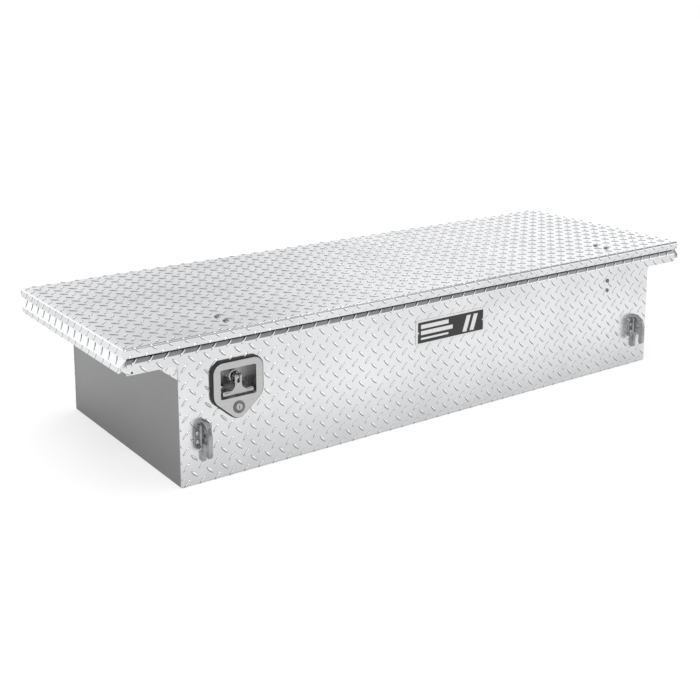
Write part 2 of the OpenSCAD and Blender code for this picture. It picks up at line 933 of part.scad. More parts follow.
module strut_wall_stud(side) {
    inner = side_x - sheet;
    color("gray") mirrored(side) {
        block(
            [inner - 3, wall_stud[0] - 16, wall_stud[1] - 16],
            [inner, wall_stud[0] + 16, wall_stud[1] + 16]);
        bar_x(strut_x - strut_half, inner, wall_stud[0], wall_stud[1], stud_r);
        bar_x(inner, side_x + 3, wall_stud[0], wall_stud[1], strut_rod_r);
        bar_x(side_x, side_x + 3, wall_stud[0], wall_stud[1], 7);
    }
}

// Angle under the lid with a stub that faces the rod's eye
module strut_lid_bracket(side) {
    color("gray") mirrored(side) {
        block(
            [bracket_x, lid_stud[0] - 14, lid_stud[1] - 10],
            [bracket_x + 3, lid_stud[0] + 14, lid_under]);
        block(
            [bracket_x - 30, lid_stud[0] - 14, lid_under - 3],
            [bracket_x + 3, lid_stud[0] + 14, lid_under]);
        bar_x(strut_x + strut_half + 0.4, bracket_x + 1, lid_stud[0], lid_stud[1], stud_r);
    }
}

module left_strut_cylinder() strut_cylinder(-1);
module right_strut_cylinder() strut_cylinder(1);
module left_strut_rod() strut_rod(-1);
module right_strut_rod() strut_rod(1);
module left_strut_wall_stud() strut_wall_stud(-1);
module right_strut_wall_stud() strut_wall_stud(1);
module left_strut_lid_bracket() strut_lid_bracket(-1);
module right_strut_lid_bracket() strut_lid_bracket(1);

// Trim ---------------------------------------------------------------------------

module each_cleat_bolt() {
    for (side = [-1, 1])
        for (dx = [-cleat_bolt_dx, cleat_bolt_dx])
            for (z = cleat_bolt_z)
                translate([side * cleat_x + dx, 0, z]) children();
}

// Cast rope cleat: a base on the wall, and a plate with an eye, a prong and a hooked arm
module cleat(side) {
    half = cleat_base_w / 2;
    color("silver") mirrored(side) difference() {
        union() {
            along_x(cleat_t, cleat_x)
                polygon([for (p = rounded(cleat_outline, cleat_radii)) [front_y - p[0], p[1]]]);
            along_y(front_y - cleat_base_t, front_y) polygon(rounded(
                [[cleat_x - half, cleat_base_z[0]], [cleat_x + half, cleat_base_z[0]],
                    [cleat_x + half, cleat_base_z[1]], [cleat_x - half, cleat_base_z[1]]],
                [10, 10, 12, 12]));
        }
        for (dx = [-cleat_bolt_dx, cleat_bolt_dx])
            for (z = cleat_bolt_z)
                bar_y(front_y - cleat_base_t - 1, front_y + 1, cleat_x + dx, z, cleat_bolt_r);
        bar_x(cleat_x - cleat_t, cleat_x + cleat_t, front_y - cleat_eye[0], cleat_eye[1], cleat_eye_r);
    }
}
module left_cleat() cleat(-1);
module right_cleat() cleat(1);

module cleat_bolts() {
    inner = front_y + sheet;
    color("gray") each_cleat_bolt() {
        bar_y(front_y - cleat_base_t - eps, inner + 6, 0, 0, cleat_bolt_r);
        head_y(0, front_y - cleat_base_t, 0, 4.5, 3);
        bar_y(inner, inner + 4, 0, 0, 5);
    }
}

module name_plate() {
    w = plate_w / 2;
    h = plate_h / 2;
    color("black") along_y(front_y - plate_t, front_y) polygon(rounded(
        [[plate_x - w, plate_z - h], [plate_x + w, plate_z - h],
            [plate_x + w, plate_z + h], [plate_x - w, plate_z + h]],
        [3, 3, 3, 3]));
}

module plate_rivets() {
    color("silver") for (side = [-1, 1])
        head_y(plate_x + side * plate_rivet_dx, front_y - plate_t, plate_z, 2.6, 1.4);
}

front_wall();
left_wing_front();
right_wing_front();
rear_wall();
left_wing_rear();
right_wing_rear();
floor_pan();
left_side_wall();
right_side_wall();
left_saddle_tray();
right_saddle_tray();
left_end_skirt();
right_end_skirt();
rim_seal();
hinge_box_leaf();
hinge_pin();
box_hinge_rivets();
handle_gasket();
handle_dish();
dish_studs();
lock_housing();
left_latch_case();
right_latch_case();
latch_bolts();
rod_guides();
left_strut_wall_stud();
right_strut_wall_stud();
left_cleat();
right_cleat();
cleat_bolts();
name_plate();
plate_rivets();
lid_skin();
lid_long_lips();
lid_end_lips();
lid_stiffeners();
stiffener_webs();
hinge_lid_leaf();
lid_hinge_rivets();
left_striker();
right_striker();
striker_nuts();
left_strut_lid_bracket();
right_strut_lid_bracket();
left_strut_cylinder();
left_strut_rod();
right_strut_cylinder();
right_strut_rod();
left_rotor();
right_rotor();
left_pawl();
right_pawl();
handle_shaft();
handle_arm();
t_handle();
handle_pin();
connecting_rod();
lock_plug();
lock_cam();
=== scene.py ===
import bpy
import bmesh
import json
import math
import random
from mathutils import Matrix, Vector

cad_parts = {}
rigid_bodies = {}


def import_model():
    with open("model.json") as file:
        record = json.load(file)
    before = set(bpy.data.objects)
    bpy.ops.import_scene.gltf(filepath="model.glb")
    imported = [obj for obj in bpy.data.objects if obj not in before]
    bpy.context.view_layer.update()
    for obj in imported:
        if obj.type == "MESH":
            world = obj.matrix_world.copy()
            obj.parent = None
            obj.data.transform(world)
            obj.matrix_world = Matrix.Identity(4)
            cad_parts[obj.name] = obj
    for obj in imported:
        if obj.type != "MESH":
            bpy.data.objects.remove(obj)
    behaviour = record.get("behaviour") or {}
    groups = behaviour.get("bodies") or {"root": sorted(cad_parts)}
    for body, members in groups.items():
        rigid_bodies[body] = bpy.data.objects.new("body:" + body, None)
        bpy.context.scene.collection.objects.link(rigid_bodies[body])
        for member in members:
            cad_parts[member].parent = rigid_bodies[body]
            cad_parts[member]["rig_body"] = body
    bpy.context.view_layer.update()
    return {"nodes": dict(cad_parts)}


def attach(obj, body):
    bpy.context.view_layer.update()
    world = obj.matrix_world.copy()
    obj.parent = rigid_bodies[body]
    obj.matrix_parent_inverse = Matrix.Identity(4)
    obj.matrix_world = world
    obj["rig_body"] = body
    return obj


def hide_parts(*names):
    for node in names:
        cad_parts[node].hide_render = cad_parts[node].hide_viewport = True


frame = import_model()
NODES = frame["nodes"]
MM = 0.001

# Sizes are in millimetres in the frame's axes: X to the right, Y to the rear, Z up from the tub's underside.
SHEET = 3.2             # thickness of the folded sheets
WALL_Y = 297            # outer face of the front and rear walls, from the middle
TUB_X = 762             # outer face of the tub's sides
WING_X = 880            # ends of the wings
WING_Z = 283            # underside of the wings
LID_X, LID_Y = 889.0, 305.0     # half sizes of the lid
LID_MID = 2.0           # Y of the lid's middle
LID_TOP = 343.0
LID_R = 6.0             # bend between the lid's top and its lips
ARC = LID_R * math.pi / 2       # length of that bend
LIP = 15.0              # straight part of the lips
PITCH = 38.0            # repeat of the tread lattice
REACH = 10.5            # no lug, turned by 45 degrees, reaches further than this from its centre
LUG_HALF, LUG_W, LUG_H = 13.0, 3.1, 1.6     # half length, half width and height of a lug
LUG_SINK = 0.25         # how far a lug's base is sunk into the sheet
DISH_X, FACE_Y = -619.0, -307.5             # middle of the handle's dish, and its front face
PIN_Y, PIN_Z = -300.0, 230.0                # pin of the T-handle
BAR_Z = 196.0           # the T-handle's bar
FLOOR_Y = -268.0        # floor of the dish's pocket
HOLE_W, HOLE_LOW, HOLE_TOP = 47.4, 184, 256  # hole in the front wall for the pocket: half width, edges
LOCK_X, LOCK_Z = -619.0, 161.5
CLEAT_X = 708
PLATE_MID = (8.0, 236.0)


# ---------------------------------------------------------------- camera
def make_camera():
    yaw, pitch, roll = (math.radians(a) for a in (35.63, 11.03, 0.04))
    ahead = Vector((math.sin(yaw) * math.cos(pitch), math.cos(yaw) * math.cos(pitch), -math.sin(pitch)))
    right = Vector((math.cos(yaw), -math.sin(yaw), 0))
    up = right.cross(ahead)
    right, up = (right * math.cos(roll) + up * math.sin(roll),
                 up * math.cos(roll) - right * math.sin(roll))
    data = bpy.data.cameras.new("camera")
    data.sensor_width = 36
    data.lens = 58.37
    data.shift_y = -0.20
    data.clip_start, data.clip_end = 0.05, 100
    cam = bpy.data.objects.new("camera", data)
    bpy.context.scene.collection.objects.link(cam)
    turn = Matrix((right, up, -ahead)).transposed()
    cam.matrix_world = Matrix.Translation((-1.819, -2.406, 1.0783)) @ turn.to_4x4()
    bpy.context.scene.camera = cam


# ---------------------------------------------------------------- node graphs
class Graph:
    """A node tree, with short calls for the nodes used here."""

    def __init__(self, tree, coord):
        self.nt = tree
        self.coord = self.add("ShaderNodeTexCoord").outputs[coord]

    def add(self, kind, **values):
        node = self.nt.nodes.new(kind)
        for key, value in values.items():
            setattr(node, key, value)
        return node

    def link(self, a, b):
        self.nt.links.new(a, b)

    def scaled(self, scale):
        node = self.add("ShaderNodeMapping")
        node.inputs["Scale"].default_value = scale
        self.link(self.coord, node.inputs["Vector"])
        return node.outputs[0]

    def axes(self):
        node = self.add("ShaderNodeSeparateXYZ")
        self.link(self.coord, node.inputs[0])
        return node.outputs

    def noise(self, scale, detail=4.0, stretch=(1, 1, 1), rough=0.55, distort=0.0):
        node = self.add("ShaderNodeTexNoise")
        node.inputs["Scale"].default_value = scale
        node.inputs["Detail"].default_value = detail
        node.inputs["Roughness"].default_value = rough
        node.inputs["Distortion"].default_value = distort
        self.link(self.scaled(stretch), node.inputs["Vector"])
        return node.outputs["Fac"]

    def range(self, value, a, b, lo, hi, curve="LINEAR"):
        node = self.add("ShaderNodeMapRange", interpolation_type=curve)
        for key, number in (("From Min", a), ("From Max", b), ("To Min", lo), ("To Max", hi)):
            node.inputs[key].default_value = number
        self.link(value, node.inputs["Value"])
        return node.outputs[0]

    def maths(self, op, a, b):
        node = self.add("ShaderNodeMath", operation=op)
        for i, x in enumerate((a, b)):
            if isinstance(x, (int, float)):
                node.inputs[i].default_value = x
            else:
                self.link(x, node.inputs[i])
        return node.outputs[0]

    def times(self, a, b):
        return self.maths("MULTIPLY", a, b)

    def dot(self, vector, axis):
        node = self.add("ShaderNodeVectorMath", operation="DOT_PRODUCT")
        node.inputs[1].default_value = axis
        self.link(vector, node.inputs[0])
        return node.outputs["Value"]

    def colours(self, fac, *stops):
        node = self.add("ShaderNodeValToRGB")
        ramp = node.color_ramp
        while len(ramp.elements) < len(stops):
            ramp.elements.new(0.5)
        for element, (place, colour) in zip(ramp.elements, stops):
            element.position = place
            element.color = (*colour, 1)
        self.link(fac, node.inputs[0])
        return node.outputs["Color"]

    def mixed(self, fac, a, b):
        node = self.add("ShaderNodeMix", data_type="RGBA")
        for socket, x in ((node.inputs[0], fac), (node.inputs[6], a), (node.inputs[7], b)):
            if isinstance(x, (int, float)):
                socket.default_value = x
            elif isinstance(x, tuple):
                socket.default_value = (*x, 1)
            else:
                self.link(x, socket)
        return node.outputs[2]


class Surface(Graph):
    """A material's graph, with its Principled shader."""

    def __init__(self, name):
        self.mat = bpy.data.materials.new(name)
        self.mat.use_nodes = True
        super().__init__(self.mat.node_tree, "Object")
        self.shader = self.nt.nodes["Principled BSDF"]

    def put(self, socket, value):
        target = self.shader.inputs[socket]
        if isinstance(value, (int, float)):
            target.default_value = value
        elif isinstance(value, tuple):
            target.default_value = (*value, 1)
        else:
            self.link(value, target)

    def bump(self, height, strength, distance):
        """Adds to the bumps that are already there."""
        node = self.add("ShaderNodeBump")
        node.inputs["Strength"].default_value = strength
        node.inputs["Distance"].default_value = distance
        self.link(height, node.inputs["Height"])
        before = self.shader.inputs["Normal"]
        if before.is_linked:
            self.link(before.links[0].from_socket, node.inputs["Normal"])
        self.link(node.outputs[0], before)


# ---------------------------------------------------------------- studio
def make_world():
    """A white backdrop, and a dim room with soft boxes that the metal reflects."""
    world = bpy.data.worlds.new("studio")
    bpy.context.scene.world = world
    world.use_nodes = True
    world.node_tree.nodes.clear()
    g = Graph(world.node_tree, "Generated")

    def towards(axis):
        return g.dot(g.coord, Vector(axis).normalized())

    # a low band of light all round, strongest at the right
    right = g.maths("MAXIMUM", towards((1.0, -0.09, 0.0)), 0.0)
    band = g.maths("ADD", g.times(g.times(right, right), 1.05), 0.54)
    low = g.range(towards((0, 0, 1)), 0.24, 0.50, 1.0, 0.0, "SMOOTHSTEP")
    total = g.maths("ADD", g.times(band, low), 0.27)
    # each box: its direction, the angles where it is full and where it ends, its strength
    for axis, inner, outer, level in (
            ((-0.25, 0.85, 0.50), 16, 44, 0.68),     # high box behind, at the left
            ((0.28, -0.08, 0.95), 18, 40, 0.65),     # overhead box
            ((-0.05, -0.92, 0.38), 8, 26, 0.45),     # box by the camera
            ((-0.95, -0.20, 0.30), 14, 40, 0.40)):   # box at the left
        full, edge = math.cos(math.radians(inner)), math.cos(math.radians(outer))
        total = g.maths("ADD", total, g.range(towards(axis), edge, full, 0.0, level, "SMOOTHSTEP"))

    room, backdrop = g.add("ShaderNodeBackground"), g.add("ShaderNodeBackground")
    room.inputs["Color"].default_value = (0.995, 1.0, 1.01, 1)
    backdrop.inputs["Color"].default_value = (1, 1, 1, 1)
    g.link(total, room.inputs["Strength"])
    pick = g.add("ShaderNodeMixShader")
    g.link(g.add("ShaderNodeLightPath").outputs["Is Camera Ray"], pick.inputs[0])
    g.link(room.outputs[0], pick.inputs[1])
    g.link(backdrop.outputs[0], pick.inputs[2])
    g.link(pick.outputs[0], g.add("ShaderNodeOutputWorld").inputs["Surface"])


def aimed(light, place, direction):
    light.location = place
    light.rotation_euler = Vector(direction).to_track_quat("-Z", "Y").to_euler()
    bpy.context.scene.collection.objects.link(light)


def make_lights():
    sun = bpy.data.lights.new("key_sun", "SUN")
    sun.energy = 0.6
    sun.angle = math.radians(60)
    aimed(bpy.data.objects.new("key_sun", sun), (0, 0, 0), (0.15, 0.25, -1.0))
    for name, place, aim, power in (("front_box", (-1.6, -2.6, 2.8), (-0.2, 0, 0.2), 16),
                                    ("rear_box", (1.8, 2.2, 2.6), (0.2, 0, 0.3), 10)):
        box = bpy.data.lights.new(name, "AREA")
        box.shape = "RECTANGLE"
        box.size, box.size_y = 1.2, 0.5
        box.energy = power
        aimed(bpy.data.objects.new(name, box), place, Vector(aim) - Vector(place))


def make_floor():
    bpy.ops.mesh.primitive_plane_add(size=60, location=(0, 0, -0.0006))
    floor = bpy.context.object
    floor.name = "floor"
    floor.data.materials.append(floor_material())


# ---------------------------------------------------------------- materials
def floor_material():
    """White sweep that glows as a light table does; for all but camera rays it glows less close to the tub,
    a painted shadow that the metal reflects.
    """
    g = Surface("studio_floor")
    g.put("Base Color", g.colours(g.noise(1.5), (0.3, (0.50, 0.50, 0.50)), (0.7, (0.52, 0.52, 0.52))))
    g.put("Roughness", 0.9)
    g.put("Specular IOR Level", 0.1)
    g.put("Emission Color", (1.0, 1.0, 1.0))
    x, y, _ = g.axes()
    out_x = g.maths("SUBTRACT", g.maths("ABSOLUTE", x, 0), 0.76)
    out_y = g.maths("SUBTRACT", g.maths("ABSOLUTE", y, 0), 0.30)
    out = g.maths("MAXIMUM", out_x, out_y)
    # painted shadow: the glow seen by reflections and bounced light is dimmer close to the tub
    glow_with_painted_shadow = g.times(g.range(out, 0.02, 0.28, 0.35, 0.57), g.range(out, 0.45, 0.90, 1.0, 0.80))
    seen = g.add("ShaderNodeLightPath").outputs["Is Camera Ray"]
    g.put("Emission Strength", g.maths("MAXIMUM", glow_with_painted_shadow, g.times(seen, 0.62)))
    return g.mat


def tread_material():
    """Bright rolled aluminium: satin between the lugs and polished crowns, with painted shade round the
    lugs' feet and on what faces down, forward or to the lower left.
    """
    g = Surface("tread_plate")
    g.put("Metallic", 1.0)
    crown = g.add("ShaderNodeAttribute", attribute_name="crown").outputs["Fac"]
    flat = g.colours(g.noise(5.0, 5, rough=0.6), (0.30, (0.72, 0.725, 0.735)), (0.55, (0.79, 0.793, 0.80)),
                     (0.75, (0.83, 0.833, 0.838)))
    colour = g.mixed(g.range(crown, 0.55, 1.0, 0.0, 1.0), flat, (0.90, 0.903, 0.908))
    # painted shade: a dark grey ring round the feet of the lugs, where shade gathers
    foot_shade = g.times(g.range(crown, 0.001, 0.02, 0.0, 1.0), g.range(crown, 0.12, 0.72, 1.0, 0.0))
    colour = g.mixed(g.times(foot_shade, 0.80), colour, (0.20, 0.202, 0.21))
    # painted shade: on the front, the lugs' sides that face down and left are darkened, standing in for the
    # dark reflections there
    normal = g.add("ShaderNodeNewGeometry").outputs["Normal"]
    faces_down_left = g.range(g.dot(normal, (-0.71, 0.0, -0.71)), 0.06, 0.34, 0.0, 1.0)
    forward = g.dot(normal, (0.0, -1.0, 0.0))
    fronts = g.range(forward, 0.45, 0.75, 0.0, 1.0)
    side_shade = g.times(g.times(faces_down_left, fronts), g.range(crown, 0.01, 0.10, 0.0, 0.75))
    colour = g.mixed(side_shade, colour, (0.14, 0.142, 0.15))
    # painted shade: on the lid and its front bend, what tips a little forward is darkened too
    tipped_shade = g.times(g.range(forward, 0.14, 0.36, 0.0, 0.5), g.range(forward, 0.55, 0.72, 1.0, 0.0))
    tipped_shade = g.times(tipped_shade, g.range(g.dot(normal, (0.0, 0.0, 1.0)), 0.60, 0.75, 0.0, 1.0))
    colour = g.mixed(tipped_shade, colour, (0.22, 0.22, 0.215))
    # painted shade: what faces the ground is darkened, as it would see none of the room
    under = g.range(g.dot(normal, (0.0, 0.0, -1.0)), 0.30, 0.65, 0.0, 0.8)
    colour = g.mixed(under, colour, (0.16, 0.16, 0.165))
    grime = g.range(g.noise(160.0, 3), 0.66, 0.76, 0.0, 0.28)
    g.put("Base Color", g.mixed(grime, colour, (0.45, 0.45, 0.46)))
    satin = g.range(g.noise(22.0, 4), 0.3, 0.7, 0.17, 0.25)
    g.put("Roughness", g.times(satin, g.range(crown, 0.0, 1.0, 1.0, 0.75)))
    g.bump(g.noise(900.0, 2), 0.10, 0.0004)
    g.bump(g.noise(7.0, 2), 0.12, 0.004)
    scratch = g.noise(60.0, 3, stretch=(1.0, 14.0, 14.0), distort=0.4)
    g.bump(g.range(scratch, 0.62, 0.70, 0.0, 1.0), 0.06, 0.0002)
    return g.mat


def brushed(name, colour, rough, stretch, contrast=0.06):
    """Plain sheet with fine brushing marks and faint mill stains."""
    g = Surface(name)
    g.put("Metallic", 1.0)
    streak = g.noise(8.0, 8, stretch=stretch, rough=0.7)
    cloud = g.noise(4.0, 4)
    dark = tuple(c * (1 - 2.2 * contrast) for c in colour)
    light = tuple(min(1, c * (1 + 1.6 * contrast)) for c in colour)
    base = g.colours(streak, (0.32, dark), (0.5, colour), (0.68, light))
    stain = g.range(cloud, 0.35, 0.7, 0.0, 0.35)
    g.put("Base Color", g.mixed(stain, base, dark))
    g.put("Roughness", g.range(streak, 0.3, 0.7, rough - 0.06, rough + 0.08))
    g.bump(streak, 0.10, 0.0003)
    g.bump(g.noise(5.0, 2), 0.10, 0.003)
    return g


def dish_material():
    """Satin stainless, its colour darkened down in the pocket by painted shade."""
    g = brushed("stainless", (0.52, 0.52, 0.515), 0.30, (2.0, 60.0, 90.0), 0.05)
    steel = g.shader.inputs["Base Color"].links[0].from_socket
    # painted shade: the colour darkens towards the pocket's floor
    depth = g.range(g.axes()["Y"], -0.3065, -0.290, 0.0, 0.32)
    g.put("Base Color", g.mixed(depth, steel, (0.32, 0.32, 0.32)))
    return g.mat


def metal_material(name, colour, rough, grain=300.0, depth=0.0002, mottle=0.08, wear=0.0):
    """Machined, plated or cast metal, a little mottled, with worn spots if it has wear."""
    g = Surface(name)
    g.put("Metallic", 1.0)
    cloud = g.noise(35.0, 5)
    dark = tuple(c * (1 - 2 * mottle) for c in colour)
    light = tuple(min(1, c * (1 + mottle)) for c in colour)
    base = g.colours(cloud, (0.3, dark), (0.5, colour), (0.7, light))
    if wear:
        spots = g.range(g.noise(90.0, 4), 0.6, 0.72, 0.0, wear)
        base = g.mixed(spots, base, tuple(c * 0.55 for c in colour))
    g.put("Base Color", base)
    g.put("Roughness", g.range(g.noise(60.0, 4), 0.3, 0.7, rough * 0.8, rough * 1.25))
    g.bump(g.noise(grain, 3), 0.25, depth)
    return g.mat


def coated_material(name, colour, rough, grain=500.0, depth=0.0002, dust=0.12):
    """Paint, rubber or moulded plastic with a fine grain and a little dust."""
    g = Surface(name)
    cloud = g.range(g.noise(40.0, 5), 0.45, 0.75, 0.0, dust)
    g.put("Base Color", g.mixed(cloud, colour, tuple(min(1, c * 2.2 + 0.05) for c in colour)))
    g.put("Roughness", g.range(g.noise(90.0, 3), 0.3, 0.7, rough * 0.85, min(1.0, rough * 1.15)))
    g.bump(g.noise(grain, 3), 0.35, depth)
    return g.mat


MAT = {
    "tread_plate": tread_material(),
    # plain_sheet is the side walls' sheet: its dark colour is partly a duller mill finish and partly painted
    # shade from the wings above
    "plain_sheet": brushed("plain_sheet", (0.29, 0.29, 0.29), 0.42, (3.0, 60.0, 1.2)).mat,
    "inner_sheet": brushed("inner_sheet", (0.66, 0.665, 0.67), 0.40, (1.0, 45.0, 45.0)).mat,
    "stainless": dish_material(),
    "chrome": metal_material("chrome", (0.46, 0.46, 0.46), 0.20, 300.0, 0.0001, 0.06),
    "dark_steel": metal_material("dark_steel", (0.20, 0.20, 0.205), 0.38, 300.0, 0.0002, 0.10, 0.5),
    "zinc_steel": metal_material("zinc_steel", (0.64, 0.645, 0.66), 0.28, 350.0, 0.0001, 0.10, 0.3),
    "cast_aluminium": metal_material("cast_aluminium", (0.36, 0.362, 0.37), 0.24, 260.0, 0.0004, 0.18, 0.5),
    "bolt_steel": metal_material("bolt_steel", (0.20, 0.20, 0.205), 0.32, 350.0, 0.0001, 0.10, 0.3),
    "polished_rod": metal_material("polished_rod", (0.78, 0.78, 0.79), 0.08, 500.0, 0.00003, 0.02),
    "black_rubber": coated_material("black_rubber", (0.018, 0.018, 0.019), 0.62),
    "black_plate": coated_material("black_plate", (0.016, 0.016, 0.017), 0.34, 700.0, 0.00005, 0.05),
    "strut_black": coated_material("strut_black", (0.02, 0.02, 0.021), 0.30, 600.0, 0.0001, 0.08),
    "nylon": coated_material("nylon", (0.045, 0.045, 0.047), 0.5),
    "white_print": coated_material("white_print", (0.74, 0.74, 0.73), 0.45, 700.0, 0.00004, 0.10),
}


# ---------------------------------------------------------------- mesh helpers, in millimetres
def link_mesh(name, mesh):
    obj = bpy.data.objects.new(name, mesh)
    bpy.context.scene.collection.objects.link(obj)
    return obj


def from_data(name, verts, faces):
    mesh = bpy.data.meshes.new(name)
    mesh.from_pydata([Vector(v) * MM for v in verts], [], faces)
    bm = bmesh.new()
    bm.from_mesh(mesh)
    bmesh.ops.recalc_face_normals(bm, faces=bm.faces)
    bm.to_mesh(mesh)
    bm.free()
    return link_mesh(name, mesh)


def place(axis, a, b, along):
    """A point from two outline numbers and the place along the axis."""
    return {"X": (along, a, b), "Y": (a, along, b), "Z": (a, b, along)}[axis]


def prism(name, outline, axis, low, high):
    n = len(outline)
    verts = [place(axis, a, b, low) for a, b in outline] + [place(axis, a, b, high) for a, b in outline]
    faces = [tuple(range(n)), tuple(range(n, 2 * n))]
    faces += [(i, (i + 1) % n, n + (i + 1) % n, n + i) for i in range(n)]
    return from_data(name, verts, faces)


def disc_prism(name, axis, a, b, r, low, high, n=48):
    ring = [(a + r * math.cos(2 * math.pi * i / n), b + r * math.sin(2 * math.pi * i / n)) for i in range(n)]
    return prism(name, ring, axis, low, high)


def bake(obj):
    """Applies an object's modifiers."""
    mesh = bpy.data.meshes.new_from_object(obj.evaluated_get(bpy.context.evaluated_depsgraph_get()))
    obj.modifiers.clear()
    obj.data = mesh
    return obj


def cut(obj, cutters, operation="DIFFERENCE"):
    for cutter in cutters:
        mod = obj.modifiers.new("cut", "BOOLEAN")
        mod.operation = operation
        mod.solver = "EXACT"
        mod.object = cutter
    bake(obj)
    for cutter in cutters:
        bpy.data.objects.remove(cutter)
    return obj


def join(name, objs):
    """One object with the meshes of all."""
    bm = bmesh.new()
    for o in objs:
        bm.from_mesh(o.data)
        bpy.data.objects.remove(o)
    mesh = bpy.data.meshes.new(name)
    bm.to_mesh(mesh)
    bm.free()
    return link_mesh(name, mesh)


def smooth(obj, angle=38):
    mesh = obj.data
    mesh.polygons.foreach_set("use_smooth", [True] * len(mesh.polygons))
    mesh.set_sharp_from_angle(angle=math.radians(angle))
    return obj


def edge_round(obj, width, segments=2, angle=40):
    mod = obj.modifiers.new("round", "BEVEL")
    mod.width = width * MM
    mod.segments = segments
    mod.limit_method = "ANGLE"
    mod.angle_limit = math.radians(angle)
    mod.use_clamp_overlap = True
    bake(obj)
    smooth(obj, 50)
    mod = obj.modifiers.new("even", "WEIGHTED_NORMAL")
    mod.keep_sharp = True
    return bake(obj)


def finish_piece(obj, body, material, nodes=()):
    """Material, moving body, and the CAD nodes it stands for, which it hides."""
    obj.data.materials.clear()
    obj.data.materials.append(MAT[material])
    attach(obj, body)
    if nodes:
        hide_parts(*nodes)


def body_of(node):
    return NODES[node]["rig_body"]


def soften(node, width, material):
    """A copy of a CAD node with its edges rounded."""
    mesh = NODES[node].data.copy()
    mesh.materials.clear()
    bm = bmesh.new()
    bm.from_mesh(mesh)
    bmesh.ops.remove_doubles(bm, verts=bm.verts, dist=1e-6)
    bmesh.ops.dissolve_limit(bm, angle_limit=math.radians(0.6), verts=bm.verts, edges=bm.edges)
    bm.to_mesh(mesh)
    bm.free()
    mesh.name = node + "_look"
    obj = link_mesh(node + "_look", mesh)
    edge_round(obj, width)
    finish_piece(obj, body_of(node), material, [node])


def capsule(name, axis, a, b, r, low, high, n=28, end=0.6):
    """A round bar with rounded ends."""
    rows = [(low, r * 0.30)] + [(low + r * end * (1 - math.cos(math.radians(22.5 * k))),
                                 r * (0.30 + 0.70 * math.sin(math.radians(22.5 * k)))) for k in range(1, 5)]
    rows += [(low + high - t, q) for t, q in reversed(rows)]
    verts, faces = [], []
    for t, q in rows:
        for i in range(n):
            w = 2 * math.pi * i / n
            verts.append(place(axis, a + q * math.cos(w), b + q * math.sin(w), t))
    for k in range(len(rows) - 1):
        for i in range(n):
            j = (i + 1) % n
            faces.append((k * n + i, k * n + j, (k + 1) * n + j, (k + 1) * n + i))
    faces += [tuple(range(n)), tuple(range(len(verts) - n, len(verts)))]
    return from_data(name, verts, faces)


def cast(obj, voxel, rounds):
    """Melts joined solids into one casting with soft edges."""
    mod = obj.modifiers.new("melt", "REMESH")
    mod.mode = "VOXEL"
    mod.voxel_size = voxel * MM
    mod.use_smooth_shade = True
    mod = obj.modifiers.new("soft", "SMOOTH")
    mod.factor = 0.5
    mod.iterations = rounds
    bake(obj)
    obj.data.polygons.foreach_set("use_smooth", [True] * len(obj.data.polygons))
    return obj


def lathe(name, axis, a, b, profile, n=64):
    """A closed ring of profile points (place, radius) turned about an axis."""
    verts, faces = [], []
    for t, q in profile:
        for i in range(n):
            w = 2 * math.pi * i / n
            verts.append(place(axis, a + q * math.cos(w), b + q * math.sin(w), t))
    m = len(profile)
    for k in range(m):
        for i in range(n):
            j = (i + 1) % n
            faces.append((k * n + i, k * n + j, ((k + 1) % m) * n + j, ((k + 1) % m) * n + i))
    return smooth(from_data(name, verts, faces), 40)


def arc(cx, cy, r, a0, a1, n):
    return [(cx + r * math.cos(math.radians(a0 + (a1 - a0) * i / n)),
             cy + r * math.sin(math.radians(a0 + (a1 - a0) * i / n))) for i in range(n + 1)]


def corner(before, point, after, r, steps):
    """Points of the rounded corner of radius r at a point between two others."""
    p = Vector(point)
    u, v = (Vector(before) - p).normalized(), (Vector(after) - p).normalized()
    half = u.angle(v) / 2
    centre = p + (u + v).normalized() * (r / math.sin(half))
    first, last = (p + w * (r / math.tan(half)) - centre for w in (u, v))
    start = math.atan2(first.y, first.x)
    turn = (math.atan2(last.y, last.x) - start + math.pi) % (2 * math.pi) - math.pi
    angles = [start + turn * k / steps for k in range(steps + 1)]
    return [(centre.x + r * math.cos(w), centre.y + r * math.sin(w)) for w in angles]


def round_outline(points, radii, steps=6):
    """A closed outline with rounded corners."""
    out = []
    for i, r in enumerate(radii):
        out += corner(points[i - 1], points[i], points[(i + 1) % len(points)], r, steps)
    return out


class Fold:
    """A folded sheet's section: a path on its outer face, with rounded bends.

    side is +1 where the outer face is to the left of the path, and -1 to its right."""

    def __init__(self, points, radii, side, steps=6):
        rows = [points[0]]
        for i, r in enumerate(radii):
            rows += corner(points[i], points[i + 1], points[i + 2], r, steps)
        rows = [Vector(p) for p in rows + [points[-1]]]
        self.points = rows
        self.s = [0.0]
        for a, b in zip(rows, rows[1:]):
            self.s.append(self.s[-1] + (b - a).length)
        along = [(b - a).normalized() for a, b in zip(rows, rows[1:])]
        tangents = [(a + b).normalized() for a, b in zip(along, along[1:])]
        tangents = [along[0]] + tangents + [along[-1]]
        self.normals = [Vector((-t.y, t.x)) * side for t in tangents]

    def at(self, s):
        """Place and outer normal at a length along the path."""
        k = 0
        while k < len(self.s) - 2 and s > self.s[k + 1]:
            k += 1
        f = (s - self.s[k]) / (self.s[k + 1] - self.s[k])
        return (self.points[k].lerp(self.points[k + 1], f),
                self.normals[k].lerp(self.normals[k + 1], min(1, max(0, f))).normalized())

    def section(self, thickness):
        inner = [p - n * thickness for p, n in zip(self.points, self.normals)]
        return [tuple(p) for p in self.points] + [tuple(p) for p in reversed(inner)]

    def raised(self, s, h):
        """The point at height h above the outer face."""
        p, n = self.at(s)
        return p + n * h

    def s_at(self, z):
        """Length along the path where it first reaches a height."""
        for k in range(len(self.points) - 1):
            a, b = self.points[k][1], self.points[k + 1][1]
            if (a - z) * (b - z) <= 0 and a != b:
                return self.s[k] + (z - a) / (b - a) * (self.s[k + 1] - self.s[k])


